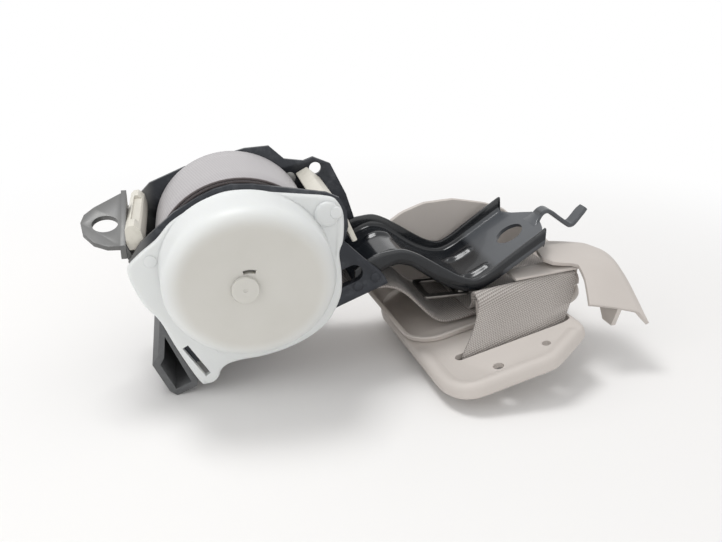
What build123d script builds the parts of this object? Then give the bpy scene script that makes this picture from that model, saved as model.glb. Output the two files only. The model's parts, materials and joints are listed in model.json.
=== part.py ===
from build123d import *
import os
from math import sin, cos, radians, pi, hypot

os.makedirs("parts", exist_ok=True)

# Retractor with its stamped bracket, belt guide trim and webbing, standing on a table.
# All lengths in mm. X runs along the bracket, Y along the spool, Z up from the table.

AX = -52.6            # spool axis position
AY = -10.34           # near edge of the webbing roll
AZ = 53.21
TILT = 22.0           # lean of the retractor about its spool axis, degrees

WEB_W = 47.0          # webbing width
WEB_T = 1.2           # webbing thickness
ROLL_R = 33.6         # wound roll radius
CORE_R = 13.5         # spool core radius
PLATE_T = 2.0         # frame steel thickness
SHAFT_R = 4.0         # torsion bar radius
JOURNAL_R = 2.5       # torsion bar end journals
RUN = 0.06            # radial running clearance
DOME_R = 30.8         # spring dome radius
DOME_FACE = 28.5      # spring dome face, in front of the near edge of the roll
COVER_WALL = 1.9      # spring cover wall
COVER_SEAT = 4.0      # outer face of the front plate, in front of the near edge of the roll
EAR_HOLE = 9.5        # mounting ear hole
END_HOLE = 13.0       # bracket end hole

Y_PLATE_B = WEB_W + 2.0     # inner face of the back plate, from the near edge of the roll
BACK_X = -(ROLL_R + 3.4)    # outer face of the back web, from the spool axis

spool_axis = Plane(origin=(AX, AY, AZ), x_dir=(1, 0, 0), z_dir=(0, -1, 0))
lean = Plane(
    origin=(AX, AY, AZ),
    x_dir=(cos(radians(TILT)), 0, sin(radians(TILT))),
    z_dir=(0, -1, 0),
)
trim = Plane(
    origin=(AX + 106.1, AY - 19.7, AZ - 35.7),
    x_dir=(0.973, 0.066, 0.2213),
    z_dir=(-0.2227, -0.015, 0.9748),
)
RIVETS = [(36.4, -29.2), (44.2, -28.9)]
PAWL_PIVOT = (18.0, -8.0)
# Two pins stand close outside the dome: how far from its wall, and in which direction
COVER_PINS = [(39.9, 4.4)] + [
    ((DOME_R + out) * cos(radians(turn)), (DOME_R + out) * sin(radians(turn)))
    for out, turn in ((3.5354, 149.5514), (4.0281, -129.1737))
]
SENSOR_SCREWS = [(-26.0, 14.0), (24.0, -20.0)]

# Stamped steel frame: back web, two side plates, lower turned flange and the mounting ear.
with BuildPart() as retractor_frame:
    with BuildSketch(lean.offset(2.0 + PLATE_T)):
        with BuildLine():
            Polyline(
                (BACK_X, -26), (BACK_X, 20), (-30, 24.5), (-22, 27), (-14, 29.6), (-4, 31), (3, 31.2), (9, 30.2),
                (16, 27), (23, 22.6), (31, 17.6), (40, 12), (43.6, 8), (44.2, 2), (42.4, -4), (38.6, -9),
                (43.5, -20.2), (46.8, -26.4), (48, -30.4), (47, -33.5), (-27, -33.5), close=True,
            )
        make_face()
        Circle(16, mode=Mode.SUBTRACT)
        with Locations((33.8, -23.2)):
            SlotOverall(13.6, 7.2, mode=Mode.SUBTRACT)
        with Locations(*RIVETS):
            Circle(1.6, mode=Mode.SUBTRACT)
        with Locations(*COVER_PINS):
            Circle(1.5, mode=Mode.SUBTRACT)
        with Locations((-30, -28.5)):
            Circle(2.5, mode=Mode.SUBTRACT)
    extrude(amount=-PLATE_T)
    with BuildSketch(lean.offset(-(Y_PLATE_B + PLATE_T))):
        with BuildLine():
            Polyline(
                (BACK_X, -26), (BACK_X, 26), (-24, 31.5), (-8, 31.5), (18.7, 28), (28.7, 24.6), (32.5, 16.5),
                (39.8, 12.2), (44.4, 12.0), (50.3, 6), (51.5, -10), (50, -30.5), (47, -33.5),
                (-27, -33.5), close=True,
            )
        make_face()
        Circle(10, mode=Mode.SUBTRACT)
        with Locations((43.3, 7.0)):
            Circle(2.75, mode=Mode.SUBTRACT)
        with Locations((31.5, 8.1)):
            Circle(2.3, mode=Mode.SUBTRACT)
        with Locations(*RIVETS):
            Circle(1.6, mode=Mode.SUBTRACT)
        with Locations(*SENSOR_SCREWS):
            Circle(1.6, mode=Mode.SUBTRACT)
        with Locations((-30, -28.5)):
            Circle(2.5, mode=Mode.SUBTRACT)
        with Locations(PAWL_PIVOT):
            Circle(2.0, mode=Mode.SUBTRACT)
    extrude(amount=PLATE_T)
    with BuildSketch(lean.offset(-Y_PLATE_B)):
        with Locations((BACK_X + 1, 0)):
            Rectangle(2, 52)
    extrude(amount=Y_PLATE_B + 2.0)
    with BuildSketch(lean.offset(2.0 + PLATE_T)):
        with Locations((36, -32.5)):
            Rectangle(24, 2)
    extrude(amount=-14)
    # Riser and folded ear
    with BuildSketch(Plane(origin=(AX + BACK_X - 7, AY, AZ), x_dir=(0, 1, 0), z_dir=(1, 0, 0))):
        with BuildLine():
            Polyline((-4, 6), (-4, 11.2), (27, 23.6), (27, 6), close=True)
        make_face()
    extrude(amount=2)
    ear_plane = Plane(origin=(AX + BACK_X - 4, AY + 12, AZ + 17.2), x_dir=(1, 0, 0), z_dir=(0, -0.38, 0.925))
    with BuildSketch(ear_plane.offset(-2)):
        with BuildLine():
            Polyline(
                (-1, 15.8), (-3.5, 14.5), (-13, 6.8), (-16.4, 2.6), (-17.4, -2), (-16.4, -7.8), (-12.4, -13.6),
                (-7.5, -16.4), (-1, -16.8), close=True,
            )
        make_face()
        with Locations((-8.6, -3.4)):
            Circle(EAR_HOLE / 2, mode=Mode.SUBTRACT)
    extrude(amount=2)
    with Locations(lean.offset(-20) * Location((BACK_X + 1, -22, 0), (0, 90, 0))):
        Cylinder(2.0, 6, mode=Mode.SUBTRACT)
retractor_frame.part.label = "retractor_frame"
export_step(retractor_frame.part, "parts/retractor_frame.step")

# Moulded spring cover: flange with lobes and slotted tab, round dome, centre boss, corner boss.
with BuildPart() as spring_cover:
    with BuildSketch(spool_axis.offset(COVER_SEAT)):
        with BuildLine():
            Polyline(
                (-42.0, 3.5), (-37.5, 8.0), (-31.1, 13.0), (-25.5, 19.0), (-16.6, 24.4), (-10.5, 27.6), (-4.1, 29.3),
                (4.0, 29.0), (11.1, 27.4), (22.0, 26.4), (32.9, 25.0), (36.5, 22.6), (38.6, 17.2), (38.4, 7.5),
                (36.6, 4.0), (36.6, -0.5), (38.0, -6.0), (37.5, -14.3), (35.2, -21.0), (31.2, -27.2),
                (24.0, -32.6), (14.7, -36.6), (5.0, -38.8), (-4.6, -39.5), (-6.5, -41.5), (-13.0, -46.8),
                (-17.4, -48.6), (-20.5, -46.8), (-27.5, -32.0), (-32.7, -19.6), (-37.5, -13.0), (-40.6, -5.8),
                (-42.2, -0.5), close=True,
            )
        make_face()
    extrude(amount=2)
    with BuildSketch(spool_axis.offset(COVER_SEAT)):
        with Locations((0.6, -0.6)):
            Circle(DOME_R)
    extrude(amount=DOME_FACE - COVER_SEAT)
    chamfer(spring_cover.faces().sort_by(Axis.Y)[0].edges(), 1.6)
    with BuildSketch(spool_axis.offset(DOME_FACE)):
        Circle(4.9)
    extrude(amount=2)
    with BuildSketch(spool_axis.offset(6)):
        with Locations((32.0, 18.5)):
            Circle(4.6)
    extrude(amount=1.2)
    with BuildSketch(spool_axis.offset(COVER_SEAT)):
        with Locations((0.6, -0.6)):
            Circle(DOME_R - COVER_WALL)
    extrude(amount=DOME_FACE - COVER_WALL - COVER_SEAT, mode=Mode.SUBTRACT)
    with BuildSketch(spool_axis.offset(DOME_FACE - 2)):
        Circle(JOURNAL_R + RUN)
    extrude(amount=2.8, mode=Mode.SUBTRACT)
    with BuildSketch(spool_axis.offset(4)):
        with BuildLine():
            Polyline((-25.6, -31.0), (-17.6, -44.5), (-15.4, -43.2), (-23.2, -29.8), close=True)
        make_face()
    extrude(amount=3, mode=Mode.SUBTRACT)
    with BuildSketch(spool_axis.offset(DOME_FACE - 2)):
        with Locations(Location((2.2, 5.6, 0), 12)):
            SlotOverall(6.0, 2.2)
    extrude(amount=5, mode=Mode.SUBTRACT)
    with BuildSketch(lean.offset(4)):
        with Locations(*COVER_PINS):
            Circle(1.5)
    extrude(amount=4, mode=Mode.SUBTRACT)
spring_cover.part.label = "spring_cover"
export_step(spring_cover.part, "parts/spring_cover.step")

for index, spot in enumerate(COVER_PINS):
    with BuildPart() as cover_pin:
        head_from = 7.2 if index == 0 else 6.0
        with BuildSketch(lean.offset(2.2)):
            with Locations(spot):
                Circle(1.5)
        extrude(amount=head_from - 2.2)
        with BuildSketch(lean.offset(head_from)):
            with Locations(spot):
                Circle(2.5)
        extrude(amount=0.9)
        chamfer(cover_pin.faces().sort_by(Axis.Y)[0].edges(), 0.3)
    cover_pin.part.label = "cover_pin_" + "abc"[index]
    export_step(cover_pin.part, "parts/cover_pin_" + "abc"[index] + ".step")

# Spring side: base disc, wound spring and its arbor
with BuildPart() as spring_base:
    with BuildSketch(spool_axis.offset(5.4)):
        with Locations((0.6, -0.6)):
            Circle(DOME_R - COVER_WALL)
        Circle(7.6, mode=Mode.SUBTRACT)
    extrude(amount=1.0)
spring_base.part.label = "spring_base"
export_step(spring_base.part, "parts/spring_base.step")

with BuildPart() as spring_arbor:
    with BuildSketch(spool_axis.offset(6.9)):
        Circle(6.8)
        Circle(SHAFT_R, mode=Mode.SUBTRACT)
        with Locations((-6.2, 0)):
            Rectangle(2.2, 0.9, mode=Mode.SUBTRACT)
    extrude(amount=DOME_FACE - 10.6)
    with BuildSketch(spool_axis.offset(DOME_FACE - 3.7)):
        Circle(8.6)
        Circle(SHAFT_R, mode=Mode.SUBTRACT)
    extrude(amount=0.9)
spring_arbor.part.label = "spring_arbor"
export_step(spring_arbor.part, "parts/spring_arbor.step")

SPRING_TURNS = 8
SPRING_IN = 7.3
SPRING_OUT = DOME_R - 3.3
SPRING_T = 0.45
outer_edge = []
inner_edge = []
for step in range(SPRING_TURNS * 22 + 1):
    turn = step / 22.0
    radius = SPRING_IN + (SPRING_OUT - SPRING_IN) * turn / SPRING_TURNS
    angle = 2 * pi * turn
    outer_edge.append((0.3 + radius * cos(angle), -0.3 + radius * sin(angle)))
    inner_edge.append((0.3 + (radius - SPRING_T) * cos(angle), -0.3 + (radius - SPRING_T) * sin(angle)))
with BuildPart() as clock_spring:
    with BuildSketch(spool_axis.offset(7.4)):
        with BuildLine():
            Polyline(*(outer_edge + inner_edge[::-1]), close=True)
        make_face()
    extrude(amount=DOME_FACE - 12)
clock_spring.part.label = "clock_spring"
export_step(clock_spring.part, "parts/clock_spring.step")

# Spool, torsion bar, bushings and the wound webbing
with BuildPart() as spool:
    with BuildSketch(spool_axis.offset(1.6)):
        Circle(CORE_R)
    extrude(amount=-(WEB_W + 3.2))
    with BuildSketch(spool_axis.offset(1.6), spool_axis.offset(-(WEB_W + 0.3))):
        Circle(24.5)
    extrude(amount=-1.3)
    with BuildSketch(spool_axis.offset(5.0)):
        Circle(9.0)
    extrude(amount=-4)
    with BuildSketch(spool_axis.offset(-(WEB_W + 1.4))):
        Circle(6.0)
    extrude(amount=-3.8)
    with BuildSketch(spool_axis.offset(6)):
        Circle(SHAFT_R)
    extrude(amount=-(WEB_W + 13), mode=Mode.SUBTRACT)
spool.part.label = "spool"
export_step(spool.part, "parts/spool.step")

with BuildPart() as torsion_bar:
    with BuildSketch(spool_axis.offset(DOME_FACE - 2.3)):
        Circle(SHAFT_R)
    extrude(amount=-DOME_FACE - Y_PLATE_B - 7.9)
    with BuildSketch(spool_axis.offset(DOME_FACE + 0.4)):
        Circle(JOURNAL_R)
    extrude(amount=-DOME_FACE - Y_PLATE_B - 15.0)
torsion_bar.part.label = "torsion_bar"
export_step(torsion_bar.part, "parts/torsion_bar.step")

with BuildPart() as front_bushing:
    with BuildSketch(spool_axis.offset(2)):
        Circle(16)
        Circle(9.0 + RUN, mode=Mode.SUBTRACT)
    extrude(amount=2)
    with BuildSketch(spool_axis.offset(4)):
        Circle(18)
        Circle(9.0 + RUN, mode=Mode.SUBTRACT)
    extrude(amount=1.2)
front_bushing.part.label = "front_bushing"
export_step(front_bushing.part, "parts/front_bushing.step")

with BuildPart() as rear_bushing:
    with BuildSketch(spool_axis.offset(-Y_PLATE_B - 2)):
        Circle(10)
        Circle(6.0 + RUN, mode=Mode.SUBTRACT)
    extrude(amount=2)
    with BuildSketch(spool_axis.offset(-Y_PLATE_B - 3)):
        Circle(12)
        Circle(6.0 + RUN, mode=Mode.SUBTRACT)
    extrude(amount=1)
rear_bushing.part.label = "rear_bushing"
export_step(rear_bushing.part, "parts/rear_bushing.step")

with BuildPart() as webbing_roll:
    with BuildSketch(spool_axis.offset(-WEB_W)):
        Circle(ROLL_R)
        Circle(CORE_R, mode=Mode.SUBTRACT)
    extrude(amount=WEB_W)
webbing_roll.part.label = "webbing_roll"
export_step(webbing_roll.part, "parts/webbing_roll.step")

# Locking side: ratchet, pawl on its pin, toothed sensor wheel, lever, ball and housings
RATCHET_N = 16
RATCHET_TURN = 0.349
ratchet_edge = []
for tooth in range(RATCHET_N):
    start = 2 * pi * tooth / RATCHET_N + RATCHET_TURN
    ratchet_edge.append((13.8 * cos(start), 13.8 * sin(start)))
    ratchet_edge.append((15.8 * cos(start + 0.32), 15.8 * sin(start + 0.32)))
    ratchet_edge.append((16.0 * cos(start + 0.37), 16.0 * sin(start + 0.37)))
with BuildPart() as ratchet_wheel:
    with BuildSketch(spool_axis.offset(-Y_PLATE_B - 5.9)):
        with BuildLine():
            Polyline(*ratchet_edge, close=True)
        make_face()
        Circle(SHAFT_R, mode=Mode.SUBTRACT)
    extrude(amount=2.5)
ratchet_wheel.part.label = "ratchet_wheel"
export_step(ratchet_wheel.part, "parts/ratchet_wheel.step")

with BuildPart() as sensor_wheel:
    with BuildSketch(spool_axis.offset(-Y_PLATE_B - 8.8)):
        Circle(11.2)
        with PolarLocations(11.6, 24):
            Rectangle(1.6, 1.0)
        Circle(SHAFT_R, mode=Mode.SUBTRACT)
    extrude(amount=2.0)
    with BuildSketch(spool_axis.offset(-Y_PLATE_B - 6.8)):
        Circle(6)
        Circle(SHAFT_R, mode=Mode.SUBTRACT)
    extrude(amount=0.9)
sensor_wheel.part.label = "sensor_wheel"
export_step(sensor_wheel.part, "parts/sensor_wheel.step")

with BuildPart() as pawl_pin:
    with BuildSketch(lean.offset(-Y_PLATE_B - 6.6)):
        with Locations(PAWL_PIVOT):
            Circle(2.0)
    extrude(amount=6.4)
    with BuildSketch(lean.offset(-Y_PLATE_B - 7.4)):
        with Locations(PAWL_PIVOT):
            Circle(2.9)
    extrude(amount=0.8)
pawl_pin.part.label = "pawl_pin"
export_step(pawl_pin.part, "parts/pawl_pin.step")

with BuildPart() as lock_pawl:
    with BuildSketch(lean.offset(-Y_PLATE_B - 5.9)):
        with BuildLine():
            Polyline(
                (20.9, -6.6), (20.6, -9.4), (17.6, -12.2), (13.5, -16.8), (9.8, -18.9), (7.4, -17.9),
                (6.7, -15.7), (9.24, -16.24), (12.9, -13.4), (15.1, -8.4), (16.8, -5.2), (19.4, -4.9), close=True,
            )
        make_face()
        with Locations(PAWL_PIVOT):
            Circle(2.0 + RUN, mode=Mode.SUBTRACT)
    extrude(amount=2.5)
lock_pawl.part.label = "lock_pawl"
export_step(lock_pawl.part, "parts/lock_pawl.step")

with BuildPart() as sensor_housing:
    with BuildSketch(spool_axis.offset(-Y_PLATE_B - 15.2)):
        with Locations((-1.0, -20.6)):
            Rectangle(15, 4.4)
    extrude(amount=8.4)
    with Locations((AX, AY + Y_PLATE_B + 11.0, AZ - 13.9)):
        Sphere(6.0, mode=Mode.SUBTRACT)
    with BuildSketch(spool_axis.offset(-Y_PLATE_B - 8.2), spool_axis.offset(-Y_PLATE_B - 15.2)):
        with BuildLine():
            Polyline((-8.5, -18.6), (-8.5, -12.4), (-11.8, -10.2), (-11.8, -18.6), close=True)
        make_face()
        with Locations((-10.0, -13.0)):
            Circle(1.0, mode=Mode.SUBTRACT)
    extrude(amount=1.4)
    with BuildSketch(spool_axis.offset(-Y_PLATE_B - 15.2)):
        with Locations((-10.15, -20.6)):
            Rectangle(3.3, 4.4)
    extrude(amount=8.4)
sensor_housing.part.label = "sensor_housing"
export_step(sensor_housing.part, "parts/sensor_housing.step")

with BuildPart() as sensor_ball:
    with Locations((AX, AY + Y_PLATE_B + 11.0, AZ - 17.2)):
        Sphere(2.6)
sensor_ball.part.label = "sensor_ball"
export_step(sensor_ball.part, "parts/sensor_ball.step")

with BuildPart() as sensor_lever:
    with BuildSketch(spool_axis.offset(-Y_PLATE_B - 13.6)):
        with BuildLine():
            Polyline(
                (-11.4, -13.8), (-11.4, -12.2), (-9.4, -11.6), (-1.0, -13.6), (1.0, -13.2), (1.6, -12.6),
                (2.4, -13.4), (1.4, -14.5), (-1.0, -14.5), (-8.6, -14.2), close=True,
            )
        make_face()
    extrude(amount=5.2)
    with BuildSketch(spool_axis.offset(-Y_PLATE_B - 15.1)):
        with Locations((-10.0, -13.0)):
            Circle(1.0 - RUN)
    extrude(amount=8.2)
sensor_lever.part.label = "sensor_lever"
export_step(sensor_lever.part, "parts/sensor_lever.step")

with BuildPart() as sensor_cover:
    with BuildSketch(spool_axis.offset(-Y_PLATE_B - 17)):
        Circle(25)
        with BuildLine():
            Polyline((-14, -10), (-14, -25.5), (13, -25.5), (13, -10), close=True)
        make_face()
    extrude(amount=15)
    with BuildSketch(spool_axis.offset(-Y_PLATE_B - 15.4)):
        Circle(23.4)
        with BuildLine():
            Polyline((-12.4, -10), (-12.4, -23.9), (11.4, -23.9), (11.4, -10), close=True)
        make_face()
    extrude(amount=13.4, mode=Mode.SUBTRACT)
    with BuildSketch(lean.offset(-Y_PLATE_B - 4)):
        for spot in SENSOR_SCREWS:
            with BuildLine():
                Polyline(
                    (spot[0], spot[1] + 5), (spot[0] * 0.8, spot[1] * 0.8 + 5),
                    (spot[0] * 0.8, spot[1] * 0.8 - 5), (spot[0], spot[1] - 5), close=True,
                )
            make_face()
            with Locations(spot):
                Circle(5)
        with BuildLine():
            Polyline((22, 2), (24, 11), (31.5, 12), (35, 8.1), (31.5, 4.6), close=True)
        make_face()
        Circle(23.4, mode=Mode.SUBTRACT)
        with Locations(*SENSOR_SCREWS):
            Circle(1.6, mode=Mode.SUBTRACT)
    extrude(amount=2)
    with BuildSketch(lean.offset(-Y_PLATE_B - 2.2)):
        with Locations((31.5, 8.1)):
            Circle(2.3)
    extrude(amount=3.6)
    with BuildSketch(spool_axis.offset(-Y_PLATE_B - 15.5)):
        Circle(4.6)
        Circle(JOURNAL_R + RUN, mode=Mode.SUBTRACT)
    extrude(amount=4.6)
sensor_cover.part.label = "sensor_cover"
export_step(sensor_cover.part, "parts/sensor_cover.step")

for index, spot in enumerate(SENSOR_SCREWS):
    with BuildPart() as sensor_screw:
        with BuildSketch(lean.offset(-Y_PLATE_B - 4)):
            with Locations(spot):
                Circle(1.6)
        extrude(amount=3.8)
        with BuildSketch(lean.offset(-Y_PLATE_B - 5.8)):
            with Locations(spot):
                Circle(2.9)
        extrude(amount=1.8)
        with BuildSketch(lean.offset(-Y_PLATE_B - 5.8)):
            with Locations(spot):
                RegularPolygon(1.5, 6)
        extrude(amount=1.0, mode=Mode.SUBTRACT)
    sensor_screw.part.label = "sensor_screw_" + "ab"[index]
    export_step(sensor_screw.part, "parts/sensor_screw_" + "ab"[index] + ".step")

# Plastic pieces held in the frame
with BuildPart() as webbing_guide:
    with BuildSketch(spool_axis.offset(-Y_PLATE_B)):
        with BuildLine():
            Polyline(
                (BACK_X - 3.9, 8.5), (BACK_X - 4.9, 11.0), (BACK_X - 4.9, 16.2), (BACK_X - 3.6, 17.6),
                (BACK_X - 1.6, 17.8), (BACK_X + 0.6, 15.8), (BACK_X + 1.4, 12.0), (BACK_X + 1.3, 8.5), close=True,
            )
        make_face()
    extrude(amount=Y_PLATE_B + 2)
    with BuildSketch(spool_axis.offset(-40)):
        with Locations((BACK_X - 1.6, 18)):
            Rectangle(3.0, 3.2)
    extrude(amount=33, mode=Mode.SUBTRACT)
webbing_guide.part.label = "webbing_guide"
export_step(webbing_guide.part, "parts/webbing_guide.step")

with BuildPart() as inner_guard:
    with BuildSketch(lean.offset(-Y_PLATE_B)):
        with BuildLine():
            Polyline(
                (ROLL_R + 1, 6.6), (ROLL_R + 0.8, 8.8), (ROLL_R + 6.4, 9.4), (ROLL_R + 9.8, 2.6),
                (ROLL_R + 10.2, -11.8), (ROLL_R + 8, -11.8), (ROLL_R + 7.6, 2.0), (ROLL_R + 5.2, 6.9), close=True,
            )
        make_face()
    extrude(amount=Y_PLATE_B + 2)
inner_guard.part.label = "inner_guard"
export_step(inner_guard.part, "parts/inner_guard.step")

with BuildPart() as foot_block:
    with BuildSketch(lean.offset(-44)):
        with BuildLine():
            Polyline(
                (BACK_X, -6.2), (BACK_X - 1.4, -6.6), (BACK_X - 8.6, -19.2), (BACK_X - 12.3, -21.8),
                (BACK_X - 11.8, -35.5), (BACK_X - 10, -38.4), (BACK_X - 1.5, -38.4), (BACK_X, -36.5), close=True,
            )
        make_face()
    extrude(amount=47.8)
    with BuildSketch(lean.offset(-41.5)):
        with BuildLine():
            Polyline(
                (BACK_X - 2.6, -13.4), (BACK_X - 7, -21.2), (BACK_X - 9.6, -23.2), (BACK_X - 9.2, -35.6),
                (BACK_X - 2.6, -35.6), close=True,
            )
        make_face()
    extrude(amount=60, mode=Mode.SUBTRACT)
    with Locations(lean.offset(-20) * Location((BACK_X, -22, 0), (0, 90, 0))):
        Cylinder(2.0, 12, mode=Mode.SUBTRACT)
foot_block.part.label = "foot_block"
export_step(foot_block.part, "parts/foot_block.step")

with BuildPart() as block_pin:
    with Locations(lean.offset(-20) * Location((BACK_X - 0.2, -22, 0), (0, 90, 0))):
        Cylinder(2.0, 4.8)
    with Locations(lean.offset(-20) * Location((BACK_X - 3, -22, 0), (0, 90, 0))):
        Cylinder(3.2, 0.8)
block_pin.part.label = "block_pin"
export_step(block_pin.part, "parts/block_pin.step")

with BuildPart() as tie_bar:
    with BuildSketch(lean.offset(-Y_PLATE_B)):
        with Locations((-30, -28.5)):
            Circle(3.6)
    extrude(amount=Y_PLATE_B + 2)
    with BuildSketch(lean.offset(-Y_PLATE_B - 2)):
        with Locations((-30, -28.5)):
            Circle(2.5)
    extrude(amount=Y_PLATE_B + 6)
tie_bar.part.label = "tie_bar"
export_step(tie_bar.part, "parts/tie_bar.step")

# Pressed S bracket: channel with two raised flanges, embossed beads, end hole and hook.
HOOK_W = 6.5
BEAD_W = 4.6
ARCH_BEADS = [10.7, 34.6]
VALLEY_BEADS = [12.4, 33.4]
sheet_path = [
    (56.6, -7.2), (59.4, -6.0), (63.0, -5.4), (68.0, -6.8), (73.0, -10.2), (79.0, -14.6), (85.0, -17.8),
    (91.0, -19.9), (97.0, -20.4), (102.0, -18.6), (108.0, -14.8),
]
flange_top = [
    (48.0, -4.6), (52.0, -2.2), (58.0, -0.6), (64.0, -0.2), (70.0, -2.4), (76.0, -6.0), (82.0, -10.0),
    (88.0, -13.6), (93.0, -15.6), (97.0, -15.9), (102.0, -13.2), (108.0, -8.8), (116.0, -3.0), (124.5, 3.0),
]
with BuildPart() as s_bracket:
    with BuildSketch(spool_axis.offset(-Y_PLATE_B)):
        with BuildLine():
            top = Spline(*sheet_path)
            rise = Line((108.0, -14.8), (133.0, 2.06))
            end = Line((133.0, 2.06), (134.1, 0.4))
            under = Line((134.1, 0.4), (109.1, -16.47))
            low = Spline(
                (109.1, -16.47), (103.0, -20.5), (97.0, -22.4), (90.6, -21.9), (84.2, -19.6), (78.0, -16.4),
                (72.0, -12.1), (67.2, -8.7), (63.0, -7.4), (60.0, -7.9), (57.2, -9.0),
            )
            back = Line((57.2, -9.0), (56.6, -7.2))
        make_face()
    extrude(amount=Y_PLATE_B + 2)
    with BuildSketch(spool_axis.offset(0)):
        with BuildLine():
            Polyline(
                *flange_top, (128.0, 0.4), (127.6, -2.2), (109.2, -15.1), (103.0, -19.2), (97.0, -21.1),
                (90.6, -20.6), (84.2, -18.3), (78.0, -15.2), (72.0, -10.9), (67.0, -7.7), (62.0, -6.6),
                (57.5, -8.0), (53.5, -11.6), (42.6, -16.6), (40.6, -11.0), close=True,
            )
        make_face()
    extrude(amount=2)
    with BuildSketch(spool_axis.offset(-Y_PLATE_B)):
        with BuildLine():
            Polyline(
                *flange_top, (128.0, 0.4), (128.6, -3.2), (109.2, -16.3), (103.0, -20.3), (97.0, -22.2),
                (90.6, -21.7), (84.2, -19.4), (78.0, -16.2), (72.0, -11.9), (67.0, -9.0), (61.0, -9.4),
                (57.0, -10.7), (53.5, -12.1), (42.6, -16.6), (40.6, -11.0), close=True,
            )
        make_face()
    extrude(amount=2)
    # Taper of the end plate
    with BuildSketch(Plane(origin=(AX, AY, AZ + 30), x_dir=(1, 0, 0), z_dir=(0, 0, 1))):
        with BuildLine():
            Polyline(
                (125.0, -6), (125.0, 0.0), (128.0, 6.5), (130.5, 10.5), (132.0, 16.5), (133.2, 26.0),
                (131.0, 33.0), (128.0, 39.0), (125.8, 49.0), (125.8, 55), (145, 55), (145, -6), close=True,
            )
        make_face()
    extrude(amount=-60, mode=Mode.SUBTRACT)
    end_plane = Plane(origin=(AX + 121, AY + 23.5, AZ - 6.0), x_dir=(0.829, 0, 0.559), z_dir=(-0.559, 0, 0.829))
    with BuildSketch(end_plane.offset(-6)):
        Circle(END_HOLE / 2)
    extrude(amount=12, mode=Mode.SUBTRACT)
    with BuildSketch(spool_axis.offset(-21 - HOOK_W / 2)):
        with BuildLine():
            Polyline(
                (131.0, 0.7), (133.6, 4.2), (135.3, 5.7), (137.2, 5.8), (139.2, 4.7), (145.2, 0.4), (147.0, -1.2),
                (148.4, -1.6), (149.9, -0.8), (154.6, 5.4), (156.3, 4.1), (151.6, -2.2), (149.6, -3.6),
                (147.6, -3.5), (145.4, -2.2), (138.0, 3.1), (136.4, 3.7), (135.2, 3.1), (132.6, -0.9), close=True,
            )
        make_face()
    extrude(amount=HOOK_W)
    # Embossed beads along the strip, two on the arch and two in the valley
    with BuildSketch(*[spool_axis.offset(-across - BEAD_W / 2) for across in ARCH_BEADS]):
        with BuildLine():
            Polyline(
                (54.8, -8.6), (56.2, -6.6), (58.6, -5.0), (61.6, -4.2), (64.6, -4.4), (67.2, -5.4), (69.4, -7.4),
                (70.2, -8.9), (63.0, -6.4), close=True,
            )
        make_face()
    extrude(amount=BEAD_W)
    with BuildSketch(*[spool_axis.offset(-across - BEAD_W / 2) for across in VALLEY_BEADS]):
        with BuildLine():
            Polyline(
                (92.6, -20.8), (94.6, -19.6), (97.6, -19.1), (100.6, -18.1), (103.6, -16.3), (106.0, -14.9),
                (107.4, -15.6), (102.0, -19.4), (97.0, -21.2), close=True,
            )
        make_face()
    extrude(amount=BEAD_W)
    with BuildSketch(lean.offset(4)):
        with Locations(*RIVETS):
            Circle(1.6)
    extrude(amount=-60, mode=Mode.SUBTRACT)
s_bracket.part.label = "s_bracket"
export_step(s_bracket.part, "parts/s_bracket.step")

for index, spot in enumerate(RIVETS):
    for side in ("near", "far"):
        with BuildPart() as rivet:
            inner = 0.0 if side == "near" else -Y_PLATE_B - 2
            with BuildSketch(lean.offset(inner)):
                with Locations(spot):
                    Circle(1.6)
            extrude(amount=4)
            with BuildSketch(lean.offset(4.0 if side == "near" else -Y_PLATE_B - 2.4)):
                with Locations(spot):
                    Circle(1.9)
            extrude(amount=0.4)
            with BuildSketch(lean.offset(-1.0 if side == "near" else 2 - Y_PLATE_B)):
                with Locations(spot):
                    Circle(2.2)
            extrude(amount=1.0)
        name = "rivet_" + side + "_" + "ab"[index]
        rivet.part.label = name
        export_step(rivet.part, "parts/" + name + ".step")

# Belt guide trim: bowl behind the belt, base bezel with the belt slot, side lid and saddle.
BOWL_WALL = 2.2
with BuildPart() as trim_shell:
    with BuildSketch(trim):
        with Locations((4.5, 44.25)):
            RectangleRounded(83, 55.5, 14)
    with BuildSketch(trim.offset(40)):
        with Locations((-4.0, 43)):
            RectangleRounded(112, 69, 20)
    loft()
    with BuildSketch(trim.offset(BOWL_WALL)):
        with Locations((4.5, 44.25)):
            RectangleRounded(79.5, 51.1, 12)
    with BuildSketch(trim.offset(40.1)):
        with Locations((-4.0, 43)):
            RectangleRounded(107.4, 64.4, 18)
    loft(mode=Mode.SUBTRACT)
    side = Plane(origin=trim.from_local_coords((0, 90, 0)), x_dir=trim.x_dir, z_dir=-trim.y_dir)
    with BuildSketch(side):
        with BuildLine():
            Polyline(
                (-70, 26), (-40, 27), (-24, 30), (-14, 34), (-6, 37.6), (4, 38.8), (16, 36), (29, 29),
                (37, 24), (45, 16.5), (60, 14), (60, 60), (-70, 60), close=True,
            )
        make_face()
    extrude(amount=110, mode=Mode.SUBTRACT)
    with BuildSketch(side.offset(19)):
        with BuildLine():
            Polyline((-70, 25), (-46, 25), (-26, 18), (-12, 14.5), (41, 8.4), (60, 8.2), (60, 60), (-70, 60), close=True)
        make_face()
    extrude(amount=110, mode=Mode.SUBTRACT)
    with BuildSketch(Plane(origin=trim.from_local_coords((-11.2, 0, 0)), x_dir=trim.y_dir, z_dir=trim.x_dir)):
        with BuildLine():
            Polyline((8, 2.4), (26, 2.8), (44, 11), (60, 19), (71, 25), (71, 60), (8, 60), close=True)
        make_face()
    extrude(amount=-70, mode=Mode.SUBTRACT)
    with BuildSketch(trim.offset(-2)):
        with Locations((-18, 50)):
            SlotOverall(16, 6, rotation=90)
        with Locations((8, 50)):
            SlotOverall(16, 6, rotation=90)
    extrude(amount=6, mode=Mode.SUBTRACT)
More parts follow.
